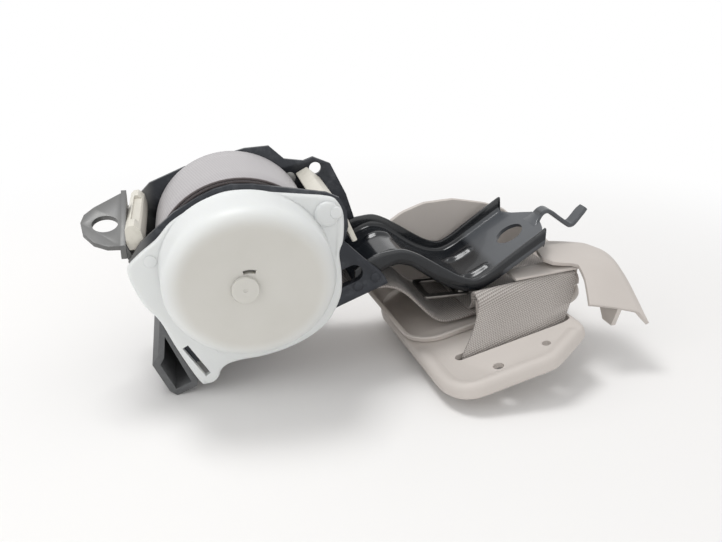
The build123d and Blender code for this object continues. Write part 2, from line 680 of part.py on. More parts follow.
trim_shell.part.label = "trim_shell"
export_step(trim_shell.part, "parts/trim_shell.step")

BEZEL_EDGE = [(-38, 30), (-38, -24), (6, -24), (28, -10.5), (28, 30)]
BEZEL_DEPTH = 4.6
BEZEL_T = 2.2
SKIRT_DEPTH = 11.7
with BuildPart() as trim_bezel:
    with BuildSketch(trim.offset(-BEZEL_DEPTH)) as bezel_plan:
        with BuildLine():
            Polyline(*BEZEL_EDGE, close=True)
        make_face()
        fillet(bezel_plan.vertices().sort_by(lambda corner: corner.X + corner.Y)[0], 13)
        with Locations((4, 44)):
            RectangleRounded(84, 58, 15)
    extrude(amount=BEZEL_DEPTH)
    with BuildSketch(trim.offset(-BEZEL_DEPTH)):
        add(bezel_plan.sketch_local)
        offset(amount=-BEZEL_T)
    extrude(amount=BEZEL_DEPTH - BEZEL_T, mode=Mode.SUBTRACT)
    with BuildSketch(trim):
        add(bezel_plan.sketch_local)
        offset(amount=-0.4)
        with Locations((14.5, 34.75)):
            RectangleRounded(91, 110.5, 10, mode=Mode.SUBTRACT)
        with Locations((0, 57)):
            Rectangle(120, 80, mode=Mode.SUBTRACT)
    extrude(amount=1.2)
    with BuildSketch(trim.offset(-SKIRT_DEPTH)):
        with Locations((-5, 22.5)):
            RectangleRounded(44, 31, 6)
            RectangleRounded(39.6, 26.6, 4, mode=Mode.SUBTRACT)
    extrude(amount=SKIRT_DEPTH - 1)
    with BuildSketch(trim.offset(-3)):
        SlotOverall(52, 4.4)
        with Locations((-14.2, -14.7)):
            Circle(2.2)
        with Locations((8.6, -11.6)):
            Circle(1.8)
        with Locations((4.5, 52)):
            RectangleRounded(62, 22, 8)
    extrude(amount=6, mode=Mode.SUBTRACT)
trim_bezel.part.label = "trim_bezel"
export_step(trim_bezel.part, "parts/trim_bezel.step")

edge_dir = trim.x_dir * 0.9930 + trim.y_dir * 0.0229 - trim.z_dir * 0.1146
with BuildPart() as guide_saddle:
    with BuildSketch(Plane(origin=trim.from_local_coords((-11, 14.9, 14.4)), x_dir=trim.y_dir, z_dir=edge_dir)):
        with BuildLine():
            Polyline(
                (-2.5, -3.2), (-2.6, -0.7), (-1.9, 0.8), (-0.7, 1.8), (0.4, 1.8), (1.2, 0.9), (1.3, -0.4),
                (-1.0, -0.4), (-1.0, -3.2), close=True,
            )
        make_face()
    extrude(amount=51.5)
    add(trim_shell.part, mode=Mode.SUBTRACT)
guide_saddle.part.label = "guide_saddle"
export_step(guide_saddle.part, "parts/guide_saddle.step")

with BuildPart() as trim_lid:
    with BuildSketch(Plane(origin=(AX + 108, AY, AZ), x_dir=(0, 1, 0), z_dir=(1, 0, 0))):
        with BuildLine():
            Polyline(
                (24.5, -11.4), (13, -9.8), (3, -10.4), (-4, -11.6), (-10, -14.4), (-18, -20.8), (-27.4, -30.6),
                (-28.8, -29.0 - 3.2), (-19.4, -22.6), (-10.8, -16.6), (-4.4, -13.9), (3, -12.7), (13, -12.1),
                (24.8, -13.7), close=True,
            )
        make_face()
    extrude(amount=56)
    with BuildSketch(Plane(origin=(AX, AY, AZ - 40), x_dir=(1, 0, 0), z_dir=(0, 0, 1))):
        with BuildLine():
            Polyline(
                (127.5, 30), (127.5, 2.0), (130.5, -2.3), (110.5, -2.3), (110.5, -4.4), (141.8, -4.4), (140.8, -12.0),
                (138.6, -20.9), (144.0, -21.7), (150.0, -22.9), (160.6, -24.8), (163.6, -27.4), (161.0, -18), (159.4, -8), (159.6, 3), (157.5, 13.5),
                (146.0, 20.5), (136.5, 24.5),
                (136.5, 30), close=True,
            )
        make_face()
    extrude(amount=40, mode=Mode.INTERSECT)
    with BuildSketch(Plane(origin=(AX + 151, AY, AZ), x_dir=(0, 1, 0), z_dir=(1, 0, 0))):
        with BuildLine():
            Polyline((-22.4, -24.9), (-19.0, -35.5), (-12.0, -35.5), (-8.0, -30.0), (-6.5, -14.0), close=True)
        make_face()
    extrude(amount=2)
trim_lid.part.label = "trim_lid"
export_step(trim_lid.part, "parts/trim_lid.step")

# Webbing from the roll, folded across in the bowl, over the saddle and down through the slot
strap_line = [
    (12.6, -31.7), (30.0, -24.75), (46.0, -18.3), (52.0, -16.4), (57.0, -16.0), (62.0, -17.2), (67.0, -20.6),
    (72.0, -25.6), (77.0, -30.6), (82.0, -33.6), (88.0, -33.6), (96.0, -31.8), (141.0, -21.56),
]
upper = []
lower = []
for k, spot in enumerate(strap_line):
    before = strap_line[max(k - 1, 0)]
    after = strap_line[min(k + 1, len(strap_line) - 1)]
    length = hypot(after[0] - before[0], after[1] - before[1])
    nx = -(after[1] - before[1]) / length
    nz = (after[0] - before[0]) / length
    upper.append((spot[0], spot[1]))
    lower.append((spot[0] - nx * WEB_T, spot[1] - nz * WEB_T))
strap_stations = [
    ((14.5, 66.0, 6.0), (1, 0, 0), (0, -1, 0)),
    ((14.5, 27.0, 6.0), (1, 0, 0), (0, -1, 0.1)),
    ((14.5, 23.0, 6.6), (1, 0, -0.01), (0, -0.9, 0.4)),
    ((14.5, 20.0, 8.7), (1, 0.01, -0.06), (0, -0.6, 0.8)),
    ((14.5, 17.8, 12.0), (0.993, 0.023, -0.1146), (0, -0.35, 0.95)),
    ((14.5, 16.6, 13.9), (0.993, 0.023, -0.1146), (0, -0.8, 0.6)),
    ((14.5, 14.8, 14.45), (0.993, 0.023, -0.1146), (0, -1, 0)),
    ((14.0, 12.1, 13.1), (0.993, 0.023, -0.105), (0, -0.75, -0.65)),
    ((12.4, 9.9, 10.4), (0.995, 0, -0.085), (0, -0.6, -0.75)),
    ((7.4, 5.4, 5.4), (0.998, 0, -0.04), (0, -0.62, -0.72)),
    ((1.8, 0.9, 1.4), (1, 0, 0), (0, -0.4, -0.9)),
    ((0.4, 0, -1.6), (1, 0, 0), (0, 0, -1)),
    ((0.4, 0, -7.4), (1, 0, 0), (0, 0, -1)),
]
with BuildPart() as belt_fold:
    for place, wide, ahead in strap_stations:
        across = trim.x_dir * wide[0] + trim.y_dir * wide[1] + trim.z_dir * wide[2]
        along = trim.x_dir * ahead[0] + trim.y_dir * ahead[1] + trim.z_dir * ahead[2]
        across = across - along * (across.dot(along) / along.dot(along))
        with BuildSketch(Plane(origin=trim.from_local_coords(place), x_dir=across, z_dir=along)):
            Rectangle(WEB_W, WEB_T)
    loft(ruled=True)
with BuildPart() as belt_strap:
    with BuildSketch(spool_axis.offset(-WEB_W)):
        with BuildLine():
            Polyline(*(upper + lower[::-1]), close=True)
        make_face()
    extrude(amount=WEB_W)
    with BuildSketch(trim.offset(2)):
        with Locations((28, 14)):
            Rectangle(46, 9.4)
        with Locations((41, 14)):
            Rectangle(13, 15.6)
    extrude(amount=5, mode=Mode.SUBTRACT)
    add(belt_fold.part)
belt_strap.part.label = "belt_strap"
export_step(belt_strap.part, "parts/belt_strap.step")

with BuildPart() as belt_stop:
    with BuildSketch(trim.offset(-8.2)):
        with Locations((0.4, 0)):
            RectangleRounded(50, 7, 2.5)
    extrude(amount=3.8)
    with BuildSketch(trim.offset(-7.4)):
        with Locations((0.4, 0)):
            Rectangle(WEB_W, WEB_T)
    extrude(amount=4, mode=Mode.SUBTRACT)
belt_stop.part.label = "belt_stop"
export_step(belt_stop.part, "parts/belt_stop.step")

# Spring clips under the bracket: a leaf beside the far flange and a frame below the valley
with BuildPart() as trim_clip_far:
    with BuildSketch(Plane(origin=(AX + 94, AY, AZ), x_dir=(0, 1, 0), z_dir=(1, 0, 0))):
        with BuildLine():
            Polyline(
                (Y_PLATE_B - 5, -24.0), (Y_PLATE_B - 5, -21.0), (Y_PLATE_B, -21.0), (Y_PLATE_B, -17.0),
                (Y_PLATE_B + 1.2, -17.0), (Y_PLATE_B + 1.2, -22.8), (Y_PLATE_B + 3.4, -22.8),
                (Y_PLATE_B + 3.4, -24.0), close=True,
            )
        make_face()
    extrude(amount=9)
    add(s_bracket.part, mode=Mode.SUBTRACT)
    add(trim_shell.part, mode=Mode.SUBTRACT)
trim_clip_far.part.label = "trim_clip_far"
export_step(trim_clip_far.part, "parts/trim_clip_far.step")

with BuildPart() as trim_clip_near:
    with BuildSketch(Plane(origin=(AX, AY, AZ - 24), x_dir=(1, 0, 0), z_dir=(0, 0, 1))):
        with Locations((84.5, 10.5)):
            RectangleRounded(20, 20, 2)
        with Locations((82.5, 11.0)):
            RectangleRounded(11, 14, 1.5, mode=Mode.SUBTRACT)
    extrude(amount=1.0)
    with BuildSketch(Plane(origin=(AX, AY, AZ - 24), x_dir=(1, 0, 0), z_dir=(0, 0, 1))):
        with Locations((91.5, 10.5)):
            RectangleRounded(3.6, 16, 1.2)
    extrude(amount=3.0)
    add(s_bracket.part, mode=Mode.SUBTRACT)
trim_clip_near.part.label = "trim_clip_near"
export_step(trim_clip_near.part, "parts/trim_clip_near.step")
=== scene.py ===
import json
import math

import bmesh
import bpy
from mathutils import Matrix, Vector
from mathutils.noise import noise

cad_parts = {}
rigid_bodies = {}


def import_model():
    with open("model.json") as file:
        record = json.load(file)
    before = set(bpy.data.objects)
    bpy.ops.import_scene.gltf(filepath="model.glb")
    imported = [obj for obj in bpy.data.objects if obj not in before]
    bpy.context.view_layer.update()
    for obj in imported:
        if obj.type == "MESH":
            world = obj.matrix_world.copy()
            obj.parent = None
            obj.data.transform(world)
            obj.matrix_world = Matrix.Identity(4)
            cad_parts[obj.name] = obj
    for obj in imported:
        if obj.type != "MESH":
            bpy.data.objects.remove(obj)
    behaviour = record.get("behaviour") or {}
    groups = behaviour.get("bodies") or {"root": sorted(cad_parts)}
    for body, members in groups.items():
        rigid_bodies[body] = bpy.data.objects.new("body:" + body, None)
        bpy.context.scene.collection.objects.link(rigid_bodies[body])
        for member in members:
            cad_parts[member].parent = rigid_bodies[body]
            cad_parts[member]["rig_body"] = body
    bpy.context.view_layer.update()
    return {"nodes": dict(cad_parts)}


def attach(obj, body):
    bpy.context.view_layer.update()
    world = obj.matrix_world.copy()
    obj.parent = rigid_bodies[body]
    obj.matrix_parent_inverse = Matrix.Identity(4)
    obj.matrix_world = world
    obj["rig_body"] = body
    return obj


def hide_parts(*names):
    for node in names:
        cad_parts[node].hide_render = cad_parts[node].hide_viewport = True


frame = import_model()

# Camera: a hand-held shot from the front left, a little above the table.
# It stands at the place fitted to the roll, the end hole and the table edge.
PHOTO_WIDTH, PHOTO_FOCAL = 722, 750
SENSOR_WIDTH = 36
CAMERA_SPOT = Vector((-0.0711, -0.28384, 0.15551))
CAMERA_AHEAD = Vector((0.216, 0.905, -0.3665)).normalized()
camera_data = bpy.data.cameras.new("photo_camera")
camera_data.sensor_width = SENSOR_WIDTH
camera_data.lens = PHOTO_FOCAL / PHOTO_WIDTH * SENSOR_WIDTH
camera = bpy.data.objects.new("photo_camera", camera_data)
turn = CAMERA_AHEAD.to_track_quat("-Z", "Y")
camera.matrix_world = Matrix.Translation(CAMERA_SPOT) @ turn.to_matrix().to_4x4()
bpy.context.scene.collection.objects.link(camera)
bpy.context.scene.camera = camera
bpy.context.scene.view_settings.view_transform = "Standard"

# Retractor frame: pressed steel side plates on a back web, dipped in dark primer.
# The folded ear is painted a lighter grey: painted light, where the ear catches more light.
CORNER_ANGLE, CORNER_STEPS, PRESSED_EDGE = 35, 2, 0.00035
EAR_STARTS = (-0.084, -0.090)


class Tone:
    """One output in a material's nodes. Sums and products on it add their Math nodes."""

    def __init__(self, tree, socket=None):
        self.tree, self.socket = tree, socket

    def node(self, kind, settings=None, sockets=None, out=0):
        made = self.tree.nodes.new(kind)
        for key, value in (settings or {}).items():
            setattr(made, key, value)
        for key, value in (sockets or {}).items():
            if isinstance(value, Tone):
                self.tree.links.new(value.socket, made.inputs[key])
            else:
                made.inputs[key].default_value = value
        return Tone(self.tree, made.outputs[out]) if made.outputs else None

    def math(self, operation, *values):
        return self.node("ShaderNodeMath", {"operation": operation}, dict(enumerate((self, *values))))

    def __add__(self, other):
        return self.math("ADD", other)

    def __sub__(self, other):
        return self.math("SUBTRACT", other)

    def __mul__(self, other):
        return self.math("MULTIPLY", other)

    def __rsub__(self, other):
        return self.math("MULTIPLY_ADD", -1, other)

    __radd__, __rmul__ = __add__, __mul__

    def axis(self, number):
        return self.node("ShaderNodeSeparateXYZ", None, {"Vector": self}, out=number)

    def length(self):
        return self.node("ShaderNodeVectorMath", {"operation": "LENGTH"}, {"Vector": self}, out=1)

    def between(self, low, high):
        sockets = {"Value": self, "From Min": low, "From Max": high}
        return self.node("ShaderNodeMapRange", {"interpolation_type": "SMOOTHSTEP"}, sockets)

    def mix(self, colour_a, colour_b):
        sockets = {"Factor": self, 6: colour_a, 7: colour_b}
        return self.node("ShaderNodeMix", {"data_type": "RGBA"}, sockets, out=2)

    def noise(self, scale, detail=3, rough=0.5):
        sockets = {"Vector": self, "Scale": scale, "Detail": detail, "Roughness": rough}
        return self.node("ShaderNodeTexNoise", None, sockets)

    def bump(self, height, distance, strength=1):
        sockets = {"Height": height, "Distance": distance, "Strength": strength}
        return self.node("ShaderNodeBump", None, sockets)


def finish(name):
    """A new material, and its Object coordinates to build on."""
    material = bpy.data.materials.new(name)
    material.use_nodes = True
    material.node_tree.nodes.clear()
    place = Tone(material.node_tree).node("ShaderNodeTexCoord", out=3)
    return material, place


def coat(place, **sockets):
    """Ends a material in its surface shader."""
    named = {key.replace("_", " "): value for key, value in sockets.items()}
    surface = place.node("ShaderNodeBsdfPrincipled", None, named)
    place.node("ShaderNodeOutputMaterial", None, {"Surface": surface})


def tint(red, green, blue):
    """A colour given as it looks on screen, 0 to 255."""
    return (*(((c / 255 + 0.055) / 1.055) ** 2.4 for c in (red, green, blue)), 1)


def object_from(shape, name):
    """Puts a bmesh into the scene as an object."""
    mesh = bpy.data.meshes.new(name)
    shape.to_mesh(mesh)
    shape.free()
    piece = bpy.data.objects.new(name, mesh)
    bpy.context.scene.collection.objects.link(piece)
    return piece


def worked_in(piece):
    """Turns a piece's modifiers into plain mesh."""
    evaluated = piece.evaluated_get(bpy.context.evaluated_depsgraph_get())
    piece.data = bpy.data.meshes.new_from_object(evaluated)
    piece.modifiers.clear()


def eased(node, radius, material):
    """A CAD solid's copy with its edges rounded over, in place of the solid."""
    source = frame["nodes"][node]
    shape = bmesh.new()
    shape.from_mesh(source.data)
    bmesh.ops.remove_doubles(shape, verts=shape.verts, dist=2e-6)
    flat = math.radians(1.5)
    bmesh.ops.dissolve_limit(shape, angle_limit=flat, verts=shape.verts, edges=shape.edges)
    piece = object_from(shape, node + "_eased")
    rounding = piece.modifiers.new("rounding", "BEVEL")
    rounding.width, rounding.segments, rounding.limit_method = radius, CORNER_STEPS, "ANGLE"
    rounding.angle_limit = math.radians(CORNER_ANGLE)
    worked_in(piece)
    settle(piece, material)
    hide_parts(node)
    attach(piece, source["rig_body"])
    return piece


def settle(piece, material, sharp=32):
    """Gives a finished mesh its material and smooth faces with crisp creases."""
    piece.data.materials.clear()
    piece.data.materials.append(material)
    piece.data.polygons.foreach_set("use_smooth", [True] * len(piece.data.polygons))
    piece.data.polygons.foreach_set("material_index", [0] * len(piece.data.polygons))
    piece.data.set_sharp_from_angle(angle=math.radians(sharp))


dark_primer, place = finish("dark_primer")
dust = place.noise(240, 4, 0.6)
scuffs = place.noise(1500, 2, 0.7)
# Painted light: the ear end of the frame is painted a lighter grey.
ear_painted_light = place.axis(0).between(*EAR_STARTS)
steel_tone = ear_painted_light.mix(tint(40, 43, 49), tint(103, 103, 102))
steel_tone = (dust.between(0.45, 0.75) * 0.25).mix(steel_tone, tint(104, 107, 111))
coat(
    place,
    Base_Color=steel_tone,
    Metallic=0.35,
    Roughness=0.34 + dust * 0.16,
    Normal=place.bump(scuffs, 0.00003),
)
eased("retractor_frame", PRESSED_EDGE, dark_primer)

# Pins, screws and bars: plain steel, turned or cold headed, zinc plated. The ball and
# the clock spring keep their CAD meshes.
TURNED_EDGE = 0.0003
zinc, place = finish("zinc")
turning = place.noise(900, 3)
coat(
    place,
    Base_Color=turning.mix(tint(176, 174, 168), tint(206, 205, 200)),
    Metallic=0.9,
    Roughness=0.28 + turning * 0.15,
    Normal=place.bump(turning, 0.00002),
)
for node in ("sensor_screw_a", "sensor_screw_b", "pawl_pin", "tie_bar", "block_pin", "torsion_bar"):
    eased(node, TURNED_EDGE, zinc)
for node in ("sensor_ball", "clock_spring"):
    frame["nodes"][node].data.materials[0] = zinc

# Rivets: four steel shanks headed flat on both faces of the plates, and dipped in
# primer with the frame. One tree sets a shank and its two low heads at each point.
SPOOL = Vector((-0.0526, -0.01034, 0.05321))
rivet_tree = bpy.data.node_groups.new("set_rivets", "GeometryNodeTree")
rivet_tree.interface.new_socket("Places", in_out="INPUT", socket_type="NodeSocketGeometry")
rivet_sizes = {"Shank radius": 0.0021, "Grip": 0.0048, "Head height": 0.0004}
ROUND_STEPS = 32
RIVET_PLACES, PLATE_MIDDLES = ((44.7, -13.4), (51.8, -10.2)), (-1.6, 48.6)
for label in rivet_sizes:
    rivet_tree.interface.new_socket(label, in_out="INPUT", socket_type="NodeSocketFloat")
rivet_tree.interface.new_socket("Rivets", in_out="OUTPUT", socket_type="NodeSocketGeometry")


def at(x, y, z):
    """Millimetres beside the spool axis, at the near edge of the roll."""
    return SPOOL + Vector((x, y, z)) * 0.001


def grown(kind, links=(), **values):
    """Adds a node to the rivet tree, with its settings and what feeds it."""
    made = rivet_tree.nodes.new(kind)
    for key, value in values.items():
        made.inputs[key].default_value = value
    for socket, source in links:
        rivet_tree.links.new(source, made.inputs[socket])
    return made


given = rivet_tree.nodes.new("NodeGroupInput").outputs
shank_size = [("Radius", given["Shank radius"]), ("Depth", given["Grip"])]
shank = grown("GeometryNodeMeshCylinder", shank_size, Vertices=ROUND_STEPS)
head = grown("GeometryNodeMeshUVSphere", Segments=ROUND_STEPS, Rings=12, Radius=1.0)
head_radii = [("X", given["Shank radius"]), ("Y", given["Shank radius"]), ("Z", given["Head height"])]
head_size = grown("ShaderNodeCombineXYZ", head_radii)
joined = rivet_tree.nodes.new("GeometryNodeJoinGeometry")
rivet_tree.links.new(shank.outputs["Mesh"], joined.inputs["Geometry"])
for side in (-0.5, 0.5):
    rise = grown("ShaderNodeMath", [(0, given["Grip"])])
    rise.operation = "MULTIPLY"
    rise.inputs[1].default_value = side
    lift = grown("ShaderNodeCombineXYZ", [("Z", rise.outputs[0])])
    seat = [("Translation", lift.outputs[0]), ("Scale", head_size.outputs[0])]
    placed = grown("GeometryNodeTransform", [("Geometry", head.outputs["Mesh"]), *seat])
    rivet_tree.links.new(placed.outputs["Geometry"], joined.inputs["Geometry"])
scattered = [("Points", given["Places"]), ("Instance", joined.outputs["Geometry"])]
spread_out = grown("GeometryNodeInstanceOnPoints", scattered, Rotation=(math.pi / 2, 0, 0))
solid = grown("GeometryNodeRealizeInstances", [("Geometry", spread_out.outputs["Instances"])])
solid_out = [("Geometry", solid.outputs["Geometry"])]
painted = grown("GeometryNodeSetMaterial", solid_out, Material=dark_primer)
grown("NodeGroupOutput", [("Rivets", painted.outputs["Geometry"])])
rivet_mesh = bpy.data.meshes.new("rivets")
rivet_spots = [at(x, y, z) for x, z in RIVET_PLACES for y in PLATE_MIDDLES]
rivet_mesh.from_pydata(rivet_spots, [], [])
rivets = bpy.data.objects.new("rivets", rivet_mesh)
bpy.context.scene.collection.objects.link(rivets)
setting = rivets.modifiers.new("set_rivets", "NODES")
setting.node_group = rivet_tree
for socket in rivet_tree.interface.items_tree:
    if socket.name in rivet_sizes:
        setting[socket.identifier] = rivet_sizes[socket.name]
worked_in(rivets)
settle(rivets, dark_primer, sharp=60)
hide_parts("rivet_near_a", "rivet_near_b", "rivet_far_a", "rivet_far_b")
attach(rivets, "retractor")

# Ratchet wheel, lock pawl and trim clips: hardened steel, stamped from sheet and left
# dark and oiled. The wheel is fixed on the end of the spool.
STAMPED_EDGE = 0.00025
oiled, place = finish("oiled_steel")
film = place.noise(500, 4)
coat(
    place,
    Base_Color=film.mix(tint(96, 94, 92), tint(140, 137, 132)),
    Metallic=0.85,
    Roughness=0.3 + film * 0.2,
    Normal=place.bump(film, 0.00002),
)
for node in ("ratchet_wheel", "lock_pawl", "trim_clip_far", "trim_clip_near"):
    eased(node, STAMPED_EDGE, oiled)

# Spring cover: one moulding in unpainted nylon that lets a little light in. A thin
# flange follows the side plate. A deep dome, lower than wide, covers the spring.
DOME_CENTRE, DOME_ROUND, DOME_LOW = (0.8, 0.3), 31.4, 0.905
SHOULDER, SHOULDER_STEPS, DOME_FACE = 7.0, 8, -28.5
MOULDED_EDGE = 0.0003
dome_place = at(DOME_CENTRE[0], 0, DOME_CENTRE[1])
dome_spread = (1000 / DOME_ROUND, 0, 1000 / DOME_ROUND / DOME_LOW)
nylon, place = finish("nylon")
to_dome = [-spot * spread for spot, spread in zip(dome_place, dome_spread)]
mapping = {"Vector": place, "Location": to_dome, "Scale": dome_spread}
radius = place.node("ShaderNodeMapping", None, mapping).length()
cloud = place.noise(60, 3)
shine = place.noise(420, 3)
# Painted shade: the dome is painted darker than its lighter flange, for the face that turns from the light
# above; the cloud noise adds the nylon's own uneven tone.
dome_tone = cloud.mix(tint(199, 197, 190), tint(209, 207, 201))
nylon_tone = radius.between(0.74, 1.0).mix(dome_tone, tint(225, 227, 226))
coat(
    place,
    Base_Color=nylon_tone,
    Roughness=0.38 + shine * 0.14,
    Subsurface_Weight=0.2,
    Subsurface_Radius=(0.004, 0.004, 0.0035),
    Subsurface_Scale=0.6,
    Normal=place.bump(shine, 0.00003),
)


def curve(before, start, end, after, t):
    """A point on the smooth run from start to end, between the points on either side."""
    return 0.5 * (
        2 * start + (end - before) * t + (2 * before - 5 * start + 4 * end - after) * t ** 2
        + (3 * start - before - 3 * end + after) * t ** 3
    )


def loop_through(points, steps):
    """Points along a smooth closed line through the given ones."""
    points = [Vector(spot) for spot in points]
    line = []
    for k in range(len(points)):
        spots = [points[(k + j) % len(points)] for j in (-1, 0, 1, 2)]
        line += [curve(*spots, j / steps) for j in range(steps)]
    return line


def drawn_in(line, distance):
    """A closed line moved inwards, square to its own run. It turns counter-clockwise."""
    moved = []
    for k, spot in enumerate(line):
        run = (line[(k + 1) % len(line)] - line[k - 1]).normalized()
        moved.append(spot + Vector((-run.y, run.x)) * distance)
    return moved


def skinned(name, rings, capped=True, looped=False, clipped=False):
    """A mesh through rings of points. Clipped caps are cut into triangles."""
    shape = bmesh.new()
    rows = [[shape.verts.new(spot) for spot in ring] for ring in rings]
    for low, high in list(zip(rows, rows[1:])) + ([(rows[-1], rows[0])] if looped else []):
        for j in range(len(low)):
            n = (j + 1) % len(low)
            shape.faces.new((low[j], low[n], high[n], high[j]))
    if capped:
        ends = [shape.faces.new(rows[0][::-1]), shape.faces.new(rows[-1])]
        if clipped:
            bmesh.ops.triangulate(shape, faces=ends, ngon_method="EAR_CLIP")
    bmesh.ops.recalc_face_normals(shape, faces=shape.faces)
    return object_from(shape, name)


def turned(name, centre, profile, segments=96, low=1.0):
    """A round or lowered form about a line along the spool, from (radius, depth) in mm."""
    rings = []
    for around, depth in profile:
        ring = []
        for k in range(segments):
            angle = 2 * math.pi * k / segments
            x, z = around * math.cos(angle), low * around * math.sin(angle)
            ring.append(at(centre[0] + x, depth, centre[1] + z))
        rings.append(ring)
    return skinned(name, rings)


def carved(piece, *cutters):
    """Cuts closed forms out of a piece and clears them away."""
    for cutter in cutters:
        cut = piece.modifiers.new("cut", "BOOLEAN")
        cut.operation, cut.solver, cut.object = "DIFFERENCE", "EXACT", cutter
    worked_in(piece)
    for cutter in cutters:
        bpy.data.objects.remove(cutter)
    return piece


def one_piece(name, parts, material, node, sharp=40):
    """Joins the forms of one part into one piece that stands for a CAD node."""
    shape = bmesh.new()
    for part in parts:
        shape.from_mesh(part.data)
        bpy.data.objects.remove(part)
    piece = object_from(shape, name)
    settle(piece, material, sharp)
    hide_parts(node)
    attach(piece, "retractor")
    return piece


def prism(name, outline, near, far):
    """A straight-sided form along the spool from an outline of (x, z) in mm."""
    return skinned(name, [[at(x, depth, z) for x, z in outline] for depth in (near, far)])


cover_edge = [
    (-42.0, 3.5), (-37.5, 8.0), (-31.1, 13.0), (-25.5, 19.0), (-16.6, 24.4), (-10.5, 27.6), (-4.1, 29.3),
    (4.0, 29.3), (11.1, 28.0), (22.0, 26.6), (32.9, 25.0), (36.5, 22.6), (38.6, 17.2), (38.4, 7.5),
    (36.8, 2.0), (37.6, -6.0), (37.5, -14.3), (35.2, -21.0), (31.2, -27.2), (24.0, -32.6), (14.7, -36.6),
    (5.0, -38.8), (-3.6, -39.5), (-8.6, -40.7), (-11.4, -42.9), (-12.4, -45.4), (-14.2, -47.6),
    (-17.2, -48.4), (-20.2, -46.8), (-27.5, -32.0), (-32.7, -19.6), (-37.5, -13.0), (-40.6, -5.8),
    (-42.2, -0.5),
]
cover_line = loop_through(cover_edge[::-1], 5)
flange_line = [(0.6, -4.0), (0.0, -4.4), (0.0, -5.6), (0.3, -6.2), (0.9, -6.5), (1.6, -6.5)]
rings = [[at(spot.x, depth, spot.y) for spot in drawn_in(cover_line, inset)] for inset, depth in flange_line]
flange = skinned("cover_flange", rings, clipped=True)
tab_slot_edge = [(-25.6, -31.6), (-17.6, -44.8), (-15.6, -43.4), (-23.4, -30.4)]
tab_slot = prism("tab_slot", tab_slot_edge, -3.0, -8.0)
dome_foot = [(1.3, -6.2), (0.9, -6.9), (0.45, -8.6), (0.0, -12.5)]
dome_line = [(30, -5.0)] + [(DOME_ROUND + flare, depth) for flare, depth in dome_foot]
for k in range(SHOULDER_STEPS + 1):
    angle = math.radians(90 * k / SHOULDER_STEPS)
    around = DOME_ROUND - SHOULDER + SHOULDER * math.cos(angle)
    dome_line.append((around, SHOULDER + DOME_FACE - SHOULDER * math.sin(angle)))
dome_line += [(16, DOME_FACE - 0.1), (7, DOME_FACE - 0.1)]
dome = turned("cover_dome", DOME_CENTRE, dome_line, low=DOME_LOW)
slot_edge = []
for around, turns in ((5.8, range(109, 68, -4)), (7.2, range(69, 111, 4))):
    for turn in turns:
        angle = math.radians(turn)
        slot_edge.append((around * math.cos(angle), around * math.sin(angle)))
dome_slot = prism("dome_slot", slot_edge, -9.0, -32.0)
BOSS_CENTRE, CORNER_CENTRE = (-1.7, 0.2), (32.0, 18.5)
boss_line = [(4.9, -27.5), (4.9, -30.1), (4.7, -30.4), (4.3, -30.5), (0.8, -30.5), (0.6, -30.2)]
corner_line = [(5.2, -6.0), (4.9, -7.2), (4.3, -7.7), (3.0, -7.8)]
one_piece(
    "nylon_cover",
    [
        carved(flange, tab_slot),
        carved(dome, dome_slot),
        turned("boss", BOSS_CENTRE, boss_line, 48),
        turned("corner", CORNER_CENTRE, corner_line, 32),
    ],
    nylon,
    "spring_cover",
)
for node in ("cover_pin_a", "cover_pin_b", "cover_pin_c", "front_bushing", "rear_bushing", "spring_base"):
    eased(node, MOULDED_EDGE, nylon)

# Guide and guard between the side plates: cream plastic slides that keep the belt
# off the steel edges.
SOFT_EDGE = 0.0005
cream, place = finish("cream_plastic")
grime = place.noise(300, 4)
coat(
    place,
    Base_Color=(grime.between(0.5, 0.8) * 0.4).mix(tint(216, 212, 201), tint(186, 180, 166)),
    Roughness=0.45,
    Normal=place.bump(place.noise(1800, 2), 0.00003),
)
eased("inner_guard", SOFT_EDGE, cream)
eased("webbing_guide", SOFT_EDGE, cream)

# Foot block: a channel of dark soft plastic under the frame, moulded in one piece and
# pinned to the back web.
charcoal, place = finish("charcoal_plastic")
speck = place.noise(700, 4)
coat(
    place,
    Base_Color=speck.mix(tint(78, 79, 80), tint(104, 105, 106)),
    Roughness=0.55 + speck * 0.15,
    Normal=place.bump(speck, 0.00006),
)
eased("foot_block", SOFT_EDGE, charcoal)

# Locking side: covers, wheel and lever, moulded in grey glass-filled plastic and screwed
# to the far side plate. The spring's arbor and the belt stop are moulded alike.
grey_plastic, place = finish("grey_plastic")
fibre = place.noise(900, 4)
coat(
    place,
    Base_Color=fibre.mix(tint(150, 150, 148), tint(176, 176, 173)),
    Roughness=0.48 + fibre * 0.1,
    Normal=place.bump(fibre, 0.00004),
)
for node in ("sensor_cover", "sensor_housing", "sensor_lever", "sensor_wheel", "spring_arbor", "belt_stop"):
    eased(node, MOULDED_EDGE, grey_plastic)

# Spool: a zinc alloy die casting, left as cast. It carries the belt and turns in a
# bushing at each end, with the torsion bar through it.
CAST_EDGE = 0.0003
casting, place = finish("cast_alloy")
grain = place.noise(800, 4)
coat(
    place,
    Base_Color=grain.mix(tint(170, 171, 172), tint(194, 195, 196)),
    Metallic=0.8,
    Roughness=0.4 + grain * 0.15,
    Normal=place.bump(grain, 0.00005),
)
eased("spool", CAST_EDGE, casting)

# Wound webbing: polyester belt, 47 mm wide, wound clockwise from the spool core out
# to where it leaves at the bottom. Its edges stack unevenly, layer on layer.
BELT_WIDE, BELT_THICK = 47.0, 1.12
ROW_PITCH, ROW_SLANT, THREAD_PITCH = 1.0, 0.16, 0.95
LAYER_STEP, ROLL_OUTSIDE, LEAVES_AT = 1.2, 33.0, math.radians(-68.2)
WOUND_TURNS, STEPS_A_TURN = 15.8, 72
EDGE_WANDER = 0.28


